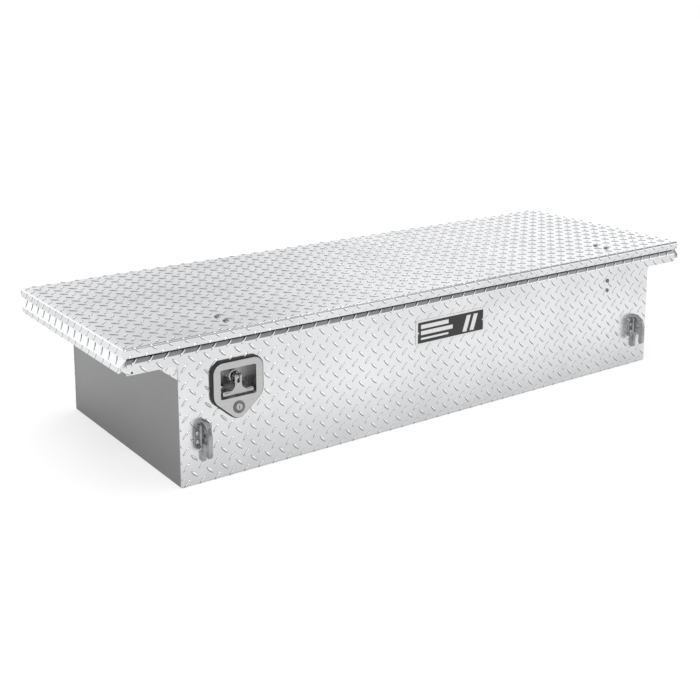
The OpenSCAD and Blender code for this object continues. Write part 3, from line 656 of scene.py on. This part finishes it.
# ---------------------------------------------------------------- tread lugs
def lug_shape():
    """One lug along +U: a pointed oval with a rounded crown, closed underneath."""
    stations = 8
    verts = [(-LUG_HALF, 0, 0)]
    for i in range(1, stations):
        u = -LUG_HALF + 2 * LUG_HALF * i / stations
        e = abs(u / LUG_HALF)
        w = LUG_W * (1 - e ** 2.1) ** 0.8
        h = LUG_H * (1 - e ** 3.2) ** 0.7
        verts += [(u, -w, 0), (u, -0.5 * w, 0.68 * h), (u, 0, h), (u, 0.5 * w, 0.68 * h), (u, w, 0)]
    verts.append((LUG_HALF, 0, 0))
    last = len(verts) - 1
    faces = []
    for k in range(4):
        faces.append((0, 1 + k, 2 + k))
        faces.append((last, last - 4 + k, last - 5 + k))
        for i in range(stations - 2):
            a = 1 + 5 * i + k
            faces.append((a, a + 5, a + 6, a + 1))
    under = [0] + [1 + 5 * i for i in range(stations - 1)] + [last]
    under += [5 + 5 * i for i in reversed(range(stations - 1))]
    faces.append(tuple(under))
    return verts, faces


LUG_VERTS, LUG_FACES = lug_shape()


def lattice(u0, u1, v0, v1, nu, nv):
    """Centres and turns of the lugs that touch a rectangle; (nu, nv) is one falling lug's centre."""
    found = []
    for turn, du in ((-45, 0.0), (45, PITCH / 2)):
        i = math.ceil((u0 - REACH - nu - du) / PITCH)
        while nu + du + i * PITCH < u1 + REACH:
            j = math.ceil((v0 - REACH - nv - du) / PITCH)
            while nv + du + j * PITCH < v1 + REACH:
                found.append((nu + du + i * PITCH, nv + du + j * PITCH, turn))
                j += 1
            i += 1
    return found


def lug_mesh(name, lugs, planes_of, place_of):
    """Lugs on a sheet. planes_of gives the cuts of a lug, or None to leave it out: each cut is a
    (point, normal) pair in the flat sheet. place_of carries (u, v, height) onto the folded sheet."""
    verts, faces, crown = [], [], []
    for u, v, turn in lugs:
        planes = planes_of(u, v)
        if planes is None:
            continue
        c, s = math.cos(math.radians(turn)), math.sin(math.radians(turn))
        flat = [(u + a * c - b * s, v + a * s + b * c, h if h else -LUG_SINK) for a, b, h in LUG_VERTS]
        shape = LUG_FACES
        if planes:
            bm = bmesh.new()
            made = [bm.verts.new(p) for p in flat]
            for f in shape:
                bm.faces.new([made[i] for i in f])
            for point, normal in planes:
                if not bm.verts:
                    break
                hit = bmesh.ops.bisect_plane(
                    bm, geom=bm.verts[:] + bm.edges[:] + bm.faces[:], plane_co=(*point, 0),
                    plane_no=(*normal, 0), clear_outer=True, dist=1e-4)
                edges = [g for g in hit["geom_cut"] if isinstance(g, bmesh.types.BMEdge)]
                if len(edges) > 2:
                    bmesh.ops.contextual_create(bm, geom=edges)
            bm.verts.ensure_lookup_table()
            for i, p in enumerate(bm.verts):
                p.index = i
            flat = [tuple(p.co) for p in bm.verts]
            shape = [tuple(p.index for p in f.verts) for f in bm.faces]
            bm.free()
            if len(flat) < 6:
                continue
        start = len(verts)
        verts += [place_of(*p) for p in flat]
        crown += [max(0.0, p[2] / LUG_H) for p in flat]
        faces += [tuple(start + i for i in f) for f in shape]
    mesh = bpy.data.meshes.new(name)
    mesh.from_pydata([Vector(p) * MM for p in verts], [], faces)
    layer = mesh.attributes.new("crown", "FLOAT", "POINT")
    layer.data.foreach_set("value", crown)
    bm = bmesh.new()
    bm.from_mesh(mesh)
    bmesh.ops.recalc_face_normals(bm, faces=bm.faces)
    bm.to_mesh(mesh)
    bm.free()
    return smooth(link_mesh(name, mesh), 60)


def box_cuts(u0, u1, v0, v1):
    """planes_of for a rectangle."""
    def planes(u, v):
        if u < u0 - REACH or u > u1 + REACH or v < v0 - REACH or v > v1 + REACH:
            return None
        out = []
        if u - u0 < REACH:
            out.append(((u0, v), (-1, 0)))
        if u1 - u < REACH:
            out.append(((u1, v), (1, 0)))
        if v - v0 < REACH:
            out.append(((u, v0), (0, -1)))
        if v1 - v < REACH:
            out.append(((u, v1), (0, 1)))
        return out
    return planes


# ---------------------------------------------------------------- sheets
def long_wall(side):
    """Front (side -1) or rear (side +1) wall, with the plates that close both wings."""
    fold = Fold([(-293, 0), (-WALL_Y, 0), (-WALL_Y, 306), (-288, 321), (-288, 330)], [3.4, 6, 3.5], 1)
    name = "front_sheet" if side < 0 else "rear_sheet"
    section = [(-side * y, z) for y, z in fold.section(SHEET)]
    sheet = prism(name, section, "X", -WING_X, WING_X)
    low, high = sorted((-side * -299, -side * -280))
    cutters = []
    for k in (-1, 1):
        notch = [(TUB_X, -5), (WING_X + 10, -5), (WING_X + 10, WING_Z), (TUB_X + 10, WING_Z)]
        notch += arc(TUB_X + 10, WING_Z - 10, 10, 105, 180, 5)
        cutters.append(prism("c", [(k * x, z) for x, z in notch], "Y", low, high))
        cutters.append(disc_prism("c", "Y", k * (WING_X - 11), WING_Z + 5, 2.5, low, high, 20))
    if side < 0:
        x0, x1 = DISH_X - HOLE_W, DISH_X + HOLE_W
        hole = [(x0, HOLE_LOW), (x1, HOLE_LOW), (x1, HOLE_TOP), (x0, HOLE_TOP)]
        cutters.append(prism("c", hole, "Y", low, high))
    cut(sheet, cutters)
    edge_round(sheet, 0.5, 2, 55)
    base = fold.s_at(100) - 100
    top = fold.s_at(323)

    def planes(u, v):
        if side < 0 and abs(u - DISH_X) < HOLE_W + 9 and HOLE_LOW - 8 < v < HOLE_TOP + 9:
            return None
        if abs(u) > WING_X + REACH or v > top - base + REACH:
            return None
        inside = abs(u) <= TUB_X
        edge = 1 if u > 0 else -1
        wing_under = ((u, WING_Z), (0, -1))
        wing_end = [((edge * WING_X, v), (edge, 0))] if abs(u) > WING_X - REACH else []
        out = []
        if v < WING_Z:
            if abs(u) > TUB_X + REACH:
                return None if v < WING_Z - REACH else [wing_under] + wing_end
            if abs(u) > TUB_X - REACH and (v < WING_Z - REACH or inside):
                out.append(((edge * TUB_X, v), (edge, 0)))
            elif not inside:
                out.append(wing_under)
        elif v < WING_Z + REACH and abs(u) > TUB_X + 2:
            out.append(wing_under)
        out += wing_end
        if v < REACH + 0.5:
            out.append(((u, 0.5), (0, -1)))
        if v > top - base - REACH:
            out.append(((u, top - base), (0, 1)))
        return out

    def on_sheet(u, v, h):
        p = fold.raised(v + base, h)
        return (u, -side * p.x, p.y)

    lugs = lattice(-WING_X, WING_X, 0, top - base, -7, 292)
    tread = lug_mesh(name + "_lugs", lugs, planes, on_sheet)
    return sheet, tread


def end_skirt(side):
    """Flared skirt that hangs from a wing's end, under the lid's lip."""
    fold = Fold([(897, 290), (897, 303), (883.2, 318), (883.2, 321)], [4, 4.5], -1)
    name = ("left" if side < 0 else "right") + "_skirt_sheet"
    section = [(side * x, z) for x, z in fold.section(SHEET)]
    sheet = prism(name, section, "Y", -296, 283)
    low, high = sorted((side * 870, side * 900))
    rear = [(284, 289), (284, 310)] + arc(263, 310, 20, 0, -90, 8) + [(263, 289)]
    front = [(-297, 289), (-297, 294)] + arc(-292, 294, 4, 180, 270, 4) + [(-292, 289)]
    cut(sheet, [prism("c", rear, "X", low, high), prism("c", front, "X", low, high)])
    edge_round(sheet, 0.5, 2, 55)
    total = fold.s[-1]
    keep = box_cuts(-295.6, 282.6, 0.3, total - 0.3)

    def planes(u, v):
        if u > 272 and v < 12:
            return None
        return keep(u, v)

    def on_sheet(u, v, h):
        p = fold.raised(v, h)
        return (side * p.x, u, p.y)

    tread = lug_mesh(name + "_lugs", lattice(-296, 283, 0, total, -285, 5.5), planes, on_sheet)
    return sheet, tread


def saddle_tray(side):
    """Underside and end of a wing, lapped down over the tub's side, with two bolt holes."""
    lap_x, bolt_x, bolt_y = TUB_X + 2.2, 822, 203
    fold = Fold([(lap_x, 250), (lap_x, WING_Z), (WING_X, WING_Z), (WING_X, 330)], [2.5, 5], -1)
    name = ("left" if side < 0 else "right") + "_tray_sheet"
    section = [(side * x, z) for x, z in fold.section(SHEET)]
    sheet = prism(name, section, "Y", -293.6, 293.6)
    low, high = sorted((side * 750, side * 890))
    cutters = []
    for k in (-1, 1):
        lean = [(k * 293.8, 303), (k * 285, 318.5), (k * 284.8, 335), (k * 300, 335), (k * 300, 303)]
        cutters.append(prism("c", lean, "X", low, high))
        cutters.append(disc_prism("c", "Z", side * bolt_x, k * bolt_y, 5.5, 275, 295, 32))
    cut(sheet, cutters)
    edge_round(sheet, 0.5, 2, 55)
    stop = fold.s_at(316)
    keep = box_cuts(-293, 293, 0.3, stop)

    def planes(u, v):
        if abs(fold.at(v)[0].x - bolt_x) < 16 and abs(abs(u) - bolt_y) < 16:
            return None
        return keep(u, v)

    def on_sheet(u, v, h):
        p = fold.raised(v, h)
        return (side * p.x, u, p.y)

    tread = lug_mesh(name + "_lugs", lattice(-293, 293, 0, stop, -285, 14.0), planes, on_sheet)
    return sheet, tread


def lid_place(u, v, h):
    """Carries a point of the flat lid sheet onto the pan with its four turned-down lips."""
    v = v - LID_MID
    ex, ey = abs(u) - (LID_X - LID_R), abs(v) - (LID_Y - LID_R)
    sx, sy = (1 if u > 0 else -1), (1 if v > 0 else -1)
    excess = max(ex, ey)
    if excess <= 0:
        return (u, v + LID_MID, LID_TOP + h)
    if excess < ARC:
        w = excess / LID_R
        nx, nz = math.sin(w), math.cos(w)
        out, z = LID_R * nx, LID_TOP - LID_R * (1 - nz)
    else:
        out, z, nx, nz = LID_R, LID_TOP - LID_R - (excess - ARC), 1.0, 0.0
    if ex >= ey:
        return (sx * (LID_X - LID_R + out + nx * h), v + LID_MID, z + nz * h)
    return (u, sy * (LID_Y - LID_R + out + nx * h) + LID_MID, z + nz * h)


def lid_sheet():
    """The pan as rings of points, from the middle of its top over the lips to its inner face."""
    def ring(inset, z):
        x, y, r = LID_X - inset, LID_Y - inset, max(7 - inset, 0.4)
        pts = []
        for sx, sy, a in ((1, 1, 0), (-1, 1, 90), (-1, -1, 180), (1, -1, 270)):
            pts += arc(sx * (x - r), sy * (y - r) + LID_MID, r, a, a + 90, 6)
        return [(a, b, z) for a, b in pts]

    def bend(inset, top, r, angles):
        return [ring(inset + r * (1 - math.sin(math.radians(a))), top - r * (1 - math.cos(math.radians(a))))
                for a in angles]

    bottom = LID_TOP - LID_R - LIP
    rings = bend(0, LID_TOP, LID_R, range(0, 91, 15))
    rings += [ring(0, bottom + 0.5), ring(0.5, bottom), ring(SHEET - 0.5, bottom), ring(SHEET, bottom + 0.5)]
    rings += bend(SHEET, LID_TOP - SHEET, LID_R - SHEET, (90, 60, 30, 0))
    n = len(rings[0])
    verts = [p for r in rings for p in r]
    faces = [tuple(range(n)), tuple(range(len(verts) - n, len(verts)))]
    for k in range(len(rings) - 1):
        for i in range(n):
            j = (i + 1) % n
            faces.append((k * n + i, k * n + j, (k + 1) * n + j, (k + 1) * n + i))
    sheet = smooth(from_data("lid_sheet", verts, faces), 50)
    mod = sheet.modifiers.new("even", "WEIGHTED_NORMAL")
    mod.keep_sharp = True
    bake(sheet)
    far_u, far_v = LID_X - LID_R + ARC + LIP - 0.3, LID_Y - LID_R + ARC + LIP - 0.3

    def planes(u, v):
        w = v - LID_MID
        if abs(u) > far_u + REACH or abs(w) > far_v + REACH:
            return None
        out = []
        su, sw = (1 if u > 0 else -1), (1 if w > 0 else -1)
        over_u, over_w = abs(u) > LID_X - LID_R - REACH, abs(w) > LID_Y - LID_R - REACH
        if over_u and over_w:
            eu, ew = abs(u) - (LID_X - LID_R), abs(w) - (LID_Y - LID_R)
            if max(eu, ew) > 2 and min(eu, ew) > 4:
                return None
            if eu >= ew:
                out.append(((u, LID_MID + sw * (LID_Y - LID_R + 1.5)), (0, sw)))
            else:
                out.append(((su * (LID_X - LID_R + 1.5), v), (su, 0)))
        if abs(u) > far_u - REACH:
            out.append(((su * far_u, v), (su, 0)))
        if abs(w) > far_v - REACH:
            out.append(((u, LID_MID + sw * far_v), (0, sw)))
        return out

    lugs = lattice(-far_u, far_u, LID_MID - far_v, LID_MID + far_v, -897.4, -303.8)
    tread = lug_mesh("lid_sheet_lugs", lugs, planes, lid_place)
    return sheet, tread


def add_sheet(pair, body, nodes):
    sheet, tread = pair
    finish_piece(sheet, body, "tread_plate", nodes=nodes)
    finish_piece(tread, body, "tread_plate")


add_sheet(long_wall(-1), "tub", ["front_wall", "left_wing_front", "right_wing_front"])
add_sheet(long_wall(1), "tub", ["rear_wall", "left_wing_rear", "right_wing_rear"])
for side, word in ((-1, "left"), (1, "right")):
    add_sheet(end_skirt(side), "tub", [word + "_end_skirt"])
    add_sheet(saddle_tray(side), "tub", [word + "_saddle_tray"])
add_sheet(lid_sheet(), "lid", ["lid_skin", "lid_long_lips", "lid_end_lips"])


# ---------------------------------------------------------------- recessed T-handle and its dish
def shield(grow):
    """Outline of the dish, made larger all round by grow."""
    x0, x1 = DISH_X - 63 - grow, DISH_X + 63 + grow
    top, shoulder, tip = 270 + grow, 184 - grow / 2, 129 - grow
    pts = [(x0, top), (x0, shoulder), (DISH_X, tip), (x1, shoulder), (x1, top)]
    return round_outline(pts, [24 + grow, 30, 24 + grow, 30, 24 + grow], 9)


def pocket(grow):
    """Outline of the pocket, made larger all round by grow."""
    x0, x1 = DISH_X - 45.5 - grow, DISH_X + 45.5 + grow
    low, top = 186 - grow, 254 + grow
    return round_outline([(x0, low), (x1, low), (x1, top), (x0, top)], [4 + grow] * 4, 5)


def make_dish():
    """Pressed flange with a deep pocket, bored for the lock and the handle's shaft."""
    dish = prism("dish_look", shield(0), "Y", FACE_Y, FACE_Y + 3)
    cut(dish, [prism("c", pocket(1.5), "Y", FACE_Y + 0.5, FLOOR_Y + 2)], "UNION")
    cut(dish, [prism("c", pocket(0), "Y", FACE_Y - 2, FLOOR_Y),
               disc_prism("c", "Y", LOCK_X, LOCK_Z, 10.8, FACE_Y - 2, -290),
               disc_prism("c", "Y", DISH_X, PIN_Z, 7.55, -270, -260)])
    edge_round(dish, 0.7, 3, 50)
    finish_piece(dish, "tub", "stainless", nodes=["handle_dish"])


def make_gasket():
    """Soft rubber with a slightly uneven edge, pressed out past the flange."""
    rnd = random.Random(7)
    ring = shield(3.2)
    wave = [rnd.uniform(-0.35, 0.35) for _ in ring]
    outer = []
    for k, (x, z) in enumerate(ring):
        d = Vector((x - DISH_X, z - 200)).normalized() * wave[k]
        outer.append((x + d.x, z + d.y))
    gasket = prism("gasket_look", outer, "Y", FACE_Y + 3, -WALL_Y)
    cut(gasket, [prism("c", pocket(1.8), "Y", FACE_Y, -295),
                 disc_prism("c", "Y", LOCK_X, LOCK_Z, 11.1, FACE_Y, -295)])
    edge_round(gasket, 0.9, 3, 50)
    finish_piece(gasket, "tub", "black_rubber", nodes=["handle_gasket"])


def make_t_handle():
    """A cast bar and stem, forked at the top round the shaft's end."""
    bar = capsule("bar", "X", PIN_Y - 1, BAR_Z, 6.6, DISH_X - 40.5, DISH_X + 40.5)
    half = [(9.6, PIN_Z + 5), (9.4, PIN_Z - 6), (8.6, PIN_Z - 12), (8.8, PIN_Z - 17), (11, PIN_Z - 22.5),
            (16, PIN_Z - 27), (23, PIN_Z - 30), (29, BAR_Z + 2.5), (30, BAR_Z - 2)]
    outline = [(DISH_X + x, z) for x, z in half] + [(DISH_X - x, z) for x, z in reversed(half)]
    stem = prism("stem", outline, "Y", PIN_Y - 6.4, PIN_Y + 4.6)
    eye = capsule("eye", "X", PIN_Y, PIN_Z, 7.8, DISH_X - 9.8, DISH_X + 9.8, end=0.2)
    handle = join("handle_look", [bar, stem, eye])
    cast(handle, 0.8, 4)
    x0, x1 = DISH_X - 2.9, DISH_X + 2.9
    slot = [(x0, PIN_Z - 9), (x0, PIN_Z + 10), (x1, PIN_Z + 10), (x1, PIN_Z - 9)]
    cut(handle, [prism("c", slot, "Y", PIN_Y - 15, PIN_Y + 15),
                 disc_prism("c", "Y", DISH_X, PIN_Z - 9, 3.8, PIN_Y - 15, PIN_Y + 15),
                 disc_prism("c", "X", PIN_Y, PIN_Z, 2.5, DISH_X - 14, DISH_X + 14, 28)])
    smooth(handle, 40)
    finish_piece(handle, body_of("t_handle"), "chrome", nodes=["t_handle"])


def make_pocket_hardware():
    """Collar round the handle's shaft, and a domed washer over each of the dish's two studs."""
    collar = [(0.3, 7.6), (0.3, 12.6), (1.0, 13.4), (17.5, 13.4), (18.3, 15.0), (21.6, 15.0), (22.9, 13.8),
              (23.2, 12.0), (22.4, 10.6), (20.6, 9.8), (20.6, 7.6)]
    ring = lathe("handle_collar_look", "Y", DISH_X, PIN_Z, [(FLOOR_Y - t, r) for t, r in collar])
    finish_piece(ring, body_of("handle_shaft"), "chrome")
    dome = [(0, 0.01), (0, 10.8), (0.9, 11.4), (2.2, 10.9), (4.0, 9.4), (6.5, 8.6), (8.0, 7.2), (9.0, 4.4),
            (9.4, 0.01)]
    dome = [(FLOOR_Y - t, r) for t, r in dome]
    for side, word in ((-1, "left"), (1, "right")):
        washer = lathe(word + "_stud_washer", "Y", DISH_X + side * 24, 198, dome)
        finish_piece(washer, "tub", "chrome")


def make_lock():
    """Key lock: a ring on the dish, and the plug that turns in it."""
    ring = [(FACE_Y - t, r) for t, r in (
        (0, 10.8), (0, 14.1), (0.3, 14.5), (1.6, 14.5), (2.4, 14.1), (2.8, 13.0), (2.8, 11.8), (2.4, 11.2),
        (1.5, 10.6), (1.3, 9.2), (1.5, 8.3), (1.1, 8.1))]
    back = [(-266, 8.1), (-266, 10.4), (-266.4, 10.8)]
    housing = lathe("lock_ring", "Y", LOCK_X, LOCK_Z, back + ring)
    finish_piece(housing, "tub", "dark_steel", nodes=["lock_housing"])
    face = [(FACE_Y - t, r) for t, r in ((1.6, 8.0), (2.1, 7.5), (2.25, 5.5), (2.3, 0.01))]
    plug = lathe("lock_plug_look", "Y", LOCK_X, LOCK_Z, [(-262, 0.01), (-262, 7.6), (-262.4, 8.0)] + face)
    x0, x1, z0, z1 = LOCK_X - 0.9, LOCK_X + 0.9, LOCK_Z - 4, LOCK_Z + 4
    keyway = round_outline([(x0, z0), (x1, z0), (x1, z1), (x0, z1)], [0.7] * 4, 3)
    cut(plug, [prism("c", keyway, "Y", FACE_Y - 5, FACE_Y + 6)])
    smooth(plug, 40)
    finish_piece(plug, "lock", "chrome", nodes=["lock_plug"])


# ---------------------------------------------------------------- rope cleats and name plate
# the cleat's plate, as (reach from the wall, height) and the radius of each corner
CLEAT = [(0, 53), (9, 53), (9, 99), (26, 99), (26, 74), (29, 68), (35, 68), (40, 76), (40, 122), (32, 138),
         (14, 149), (0, 150)]
CLEAT_R = [2, 4, 8, 8, 2, 3, 3, 6, 10, 9, 8, 2]


def make_cleat(side, word):
    """A cast plate with a prong, a hooked arm and an eye, on a base held by four bolts."""
    x, wall = side * CLEAT_X, -WALL_Y
    outline = [(wall - reach, z) for reach, z in round_outline(CLEAT, CLEAT_R)]
    plate = prism("plate", outline, "X", x - 4.8, x + 4.8)
    low, top = 84, 140
    pad = round_outline([(x - 22, low), (x + 22, low), (x + 22, top), (x - 22, top)], [10, 10, 12, 12])
    base = prism("base", pad, "Y", wall - 5.4, wall)
    fillet = [(x - 8, wall - 5), (x - 4, wall - 10), (x + 4, wall - 10), (x + 8, wall - 5)]
    root = prism("root", fillet, "Z", 92, 137)
    casting = cast(join(word + "_cleat_look", [plate, base, root]), 0.6, 2)
    eye = disc_prism("c", "X", wall - 21, 118, 4.6, x - 20, x + 20, 28)
    bolts = [disc_prism("c", "Y", x + dx, z, 2.9, -320, -290, 20) for dx in (-14, 14) for z in (101, 121)]
    behind = prism("c", [(x - 60, 40), (x + 60, 40), (x + 60, 170), (x - 60, 170)], "Y", wall + 0.1, -280)
    cut(casting, [eye] + bolts + [behind])
    smooth(casting, 45)
    finish_piece(casting, "tub", "cast_aluminium", nodes=[word + "_cleat"])


def make_name_plate():
    """A plate with a bright edge, a black field, and a few plain bars that say nothing."""
    def panel(name, w, h, r, low, high, mid=PLATE_MID):
        x, z = mid
        pts = [(x - w, z - h), (x + w, z - h), (x + w, z + h), (x - w, z + h)]
        return prism(name, round_outline(pts, [r] * 4, 4), "Y", low, high)

    plate = panel("name_plate_look", 114, 32, 3, -299.0, -WALL_Y)
    edge_round(plate, 0.4, 2)
    finish_piece(plate, "tub", "white_print", nodes=["name_plate"])
    field = panel("name_plate_field", 108.5, 27, 1.5, -299.12, -298.6)
    finish_piece(smooth(field), "tub", "black_plate")
    bars = []
    for w, h, x, z in ((45, 5.2, -46, 251), (52, 5.2, -39, 235), (45, 2.6, -46, 220)):
        bars.append(panel("bar", w, h, 1.2, -299.2, -298.8, (x, z)))
    for x in (58, 82):
        slanted = [(x - 12, 214), (x + 2, 214), (x + 16, 256), (x + 2, 256)]
        bars.append(prism("bar", slanted, "Y", -299.2, -298.8))
    finish_piece(smooth(join("name_plate_bars", bars)), "tub", "white_print")


# ---------------------------------------------------------------- rim seal
def make_seal():
    """Push-on trim with a bulb on top, run round the rim."""
    half_x, half_y, bulb_z, bulb_r, turn_r = 872.4, 280.4, 334.7, 4.6, 6
    section = [(-3.6, 324), (3.6, 324), (4.0, 324.4), (4.0, 330.2), (3.2, 331.2)]
    section += arc(0, bulb_z, bulb_r, -40, 220, 13)
    section += [(-3.2, 331.2), (-4.0, 330.2), (-4.0, 324.4)]
    corners = []
    for cx, cy, a0 in ((1, 1, 0), (-1, 1, 90), (-1, -1, 180), (1, -1, 270)):
        for k in range(7):
            w = math.radians(a0 + 15 * k)
            nx, ny = math.cos(w), math.sin(w)
            corners.append((cx * half_x + turn_r * nx, cy * half_y + turn_r * ny, nx, ny))
    verts, faces = [], []
    for x, y, nx, ny in corners:
        verts += [(x + nx * o, y + ny * o, z) for o, z in section]
    m, n = len(section), len(corners)
    for k in range(n):
        for i in range(m):
            j = (i + 1) % m
            a, b = k * m, ((k + 1) % n) * m
            faces.append((a + i, a + j, b + j, b + i))
    seal = smooth(from_data("rim_seal_look", verts, faces), 35)
    finish_piece(seal, "tub", "black_rubber", nodes=["rim_seal"])


make_dish()
make_gasket()
make_t_handle()
make_pocket_hardware()
make_lock()
make_cleat(-1, "left")
make_cleat(1, "right")
make_name_plate()
make_seal()

# ---------------------------------------------------------------- CAD parts shown with softened edges
SOFT = {
    "inner_sheet": {"floor_pan": 0.4, "lid_stiffeners": 0.4, "stiffener_webs": 0.3},
    "plain_sheet": {"left_side_wall": 0.5, "right_side_wall": 0.5},
    "zinc_steel": {
        "hinge_box_leaf": 0.3, "hinge_lid_leaf": 0.3, "hinge_pin": 0.4, "box_hinge_rivets": 0.2,
        "lid_hinge_rivets": 0.2, "lock_cam": 0.4, "handle_arm": 0.5, "handle_pin": 0.3,
        "left_latch_case": 0.4, "right_latch_case": 0.4, "connecting_rod": 0.4,
        "left_striker": 0.5, "right_striker": 0.5,
        "left_strut_wall_stud": 0.4, "right_strut_wall_stud": 0.4, "left_strut_lid_bracket": 0.4,
        "right_strut_lid_bracket": 0.4, "cleat_bolts": 0.3, "plate_rivets": 0.2},
    "dark_steel": {"left_rotor": 0.5, "right_rotor": 0.5, "left_pawl": 0.5, "right_pawl": 0.5},
    "chrome": {"dish_studs": 0.3, "handle_shaft": 0.7},
    "bolt_steel": {"latch_bolts": 0.3, "striker_nuts": 0.3},
    "nylon": {"rod_guides": 0.5},
    "strut_black": {"left_strut_cylinder": 0.6, "right_strut_cylinder": 0.6},
    "polished_rod": {"left_strut_rod": 0.5, "right_strut_rod": 0.5},
}
for material, widths in SOFT.items():
    for node, width in widths.items():
        soften(node, width, material)

make_camera()
make_world()
make_lights()
make_floor()
bpy.context.scene.view_settings.view_transform = "Standard"
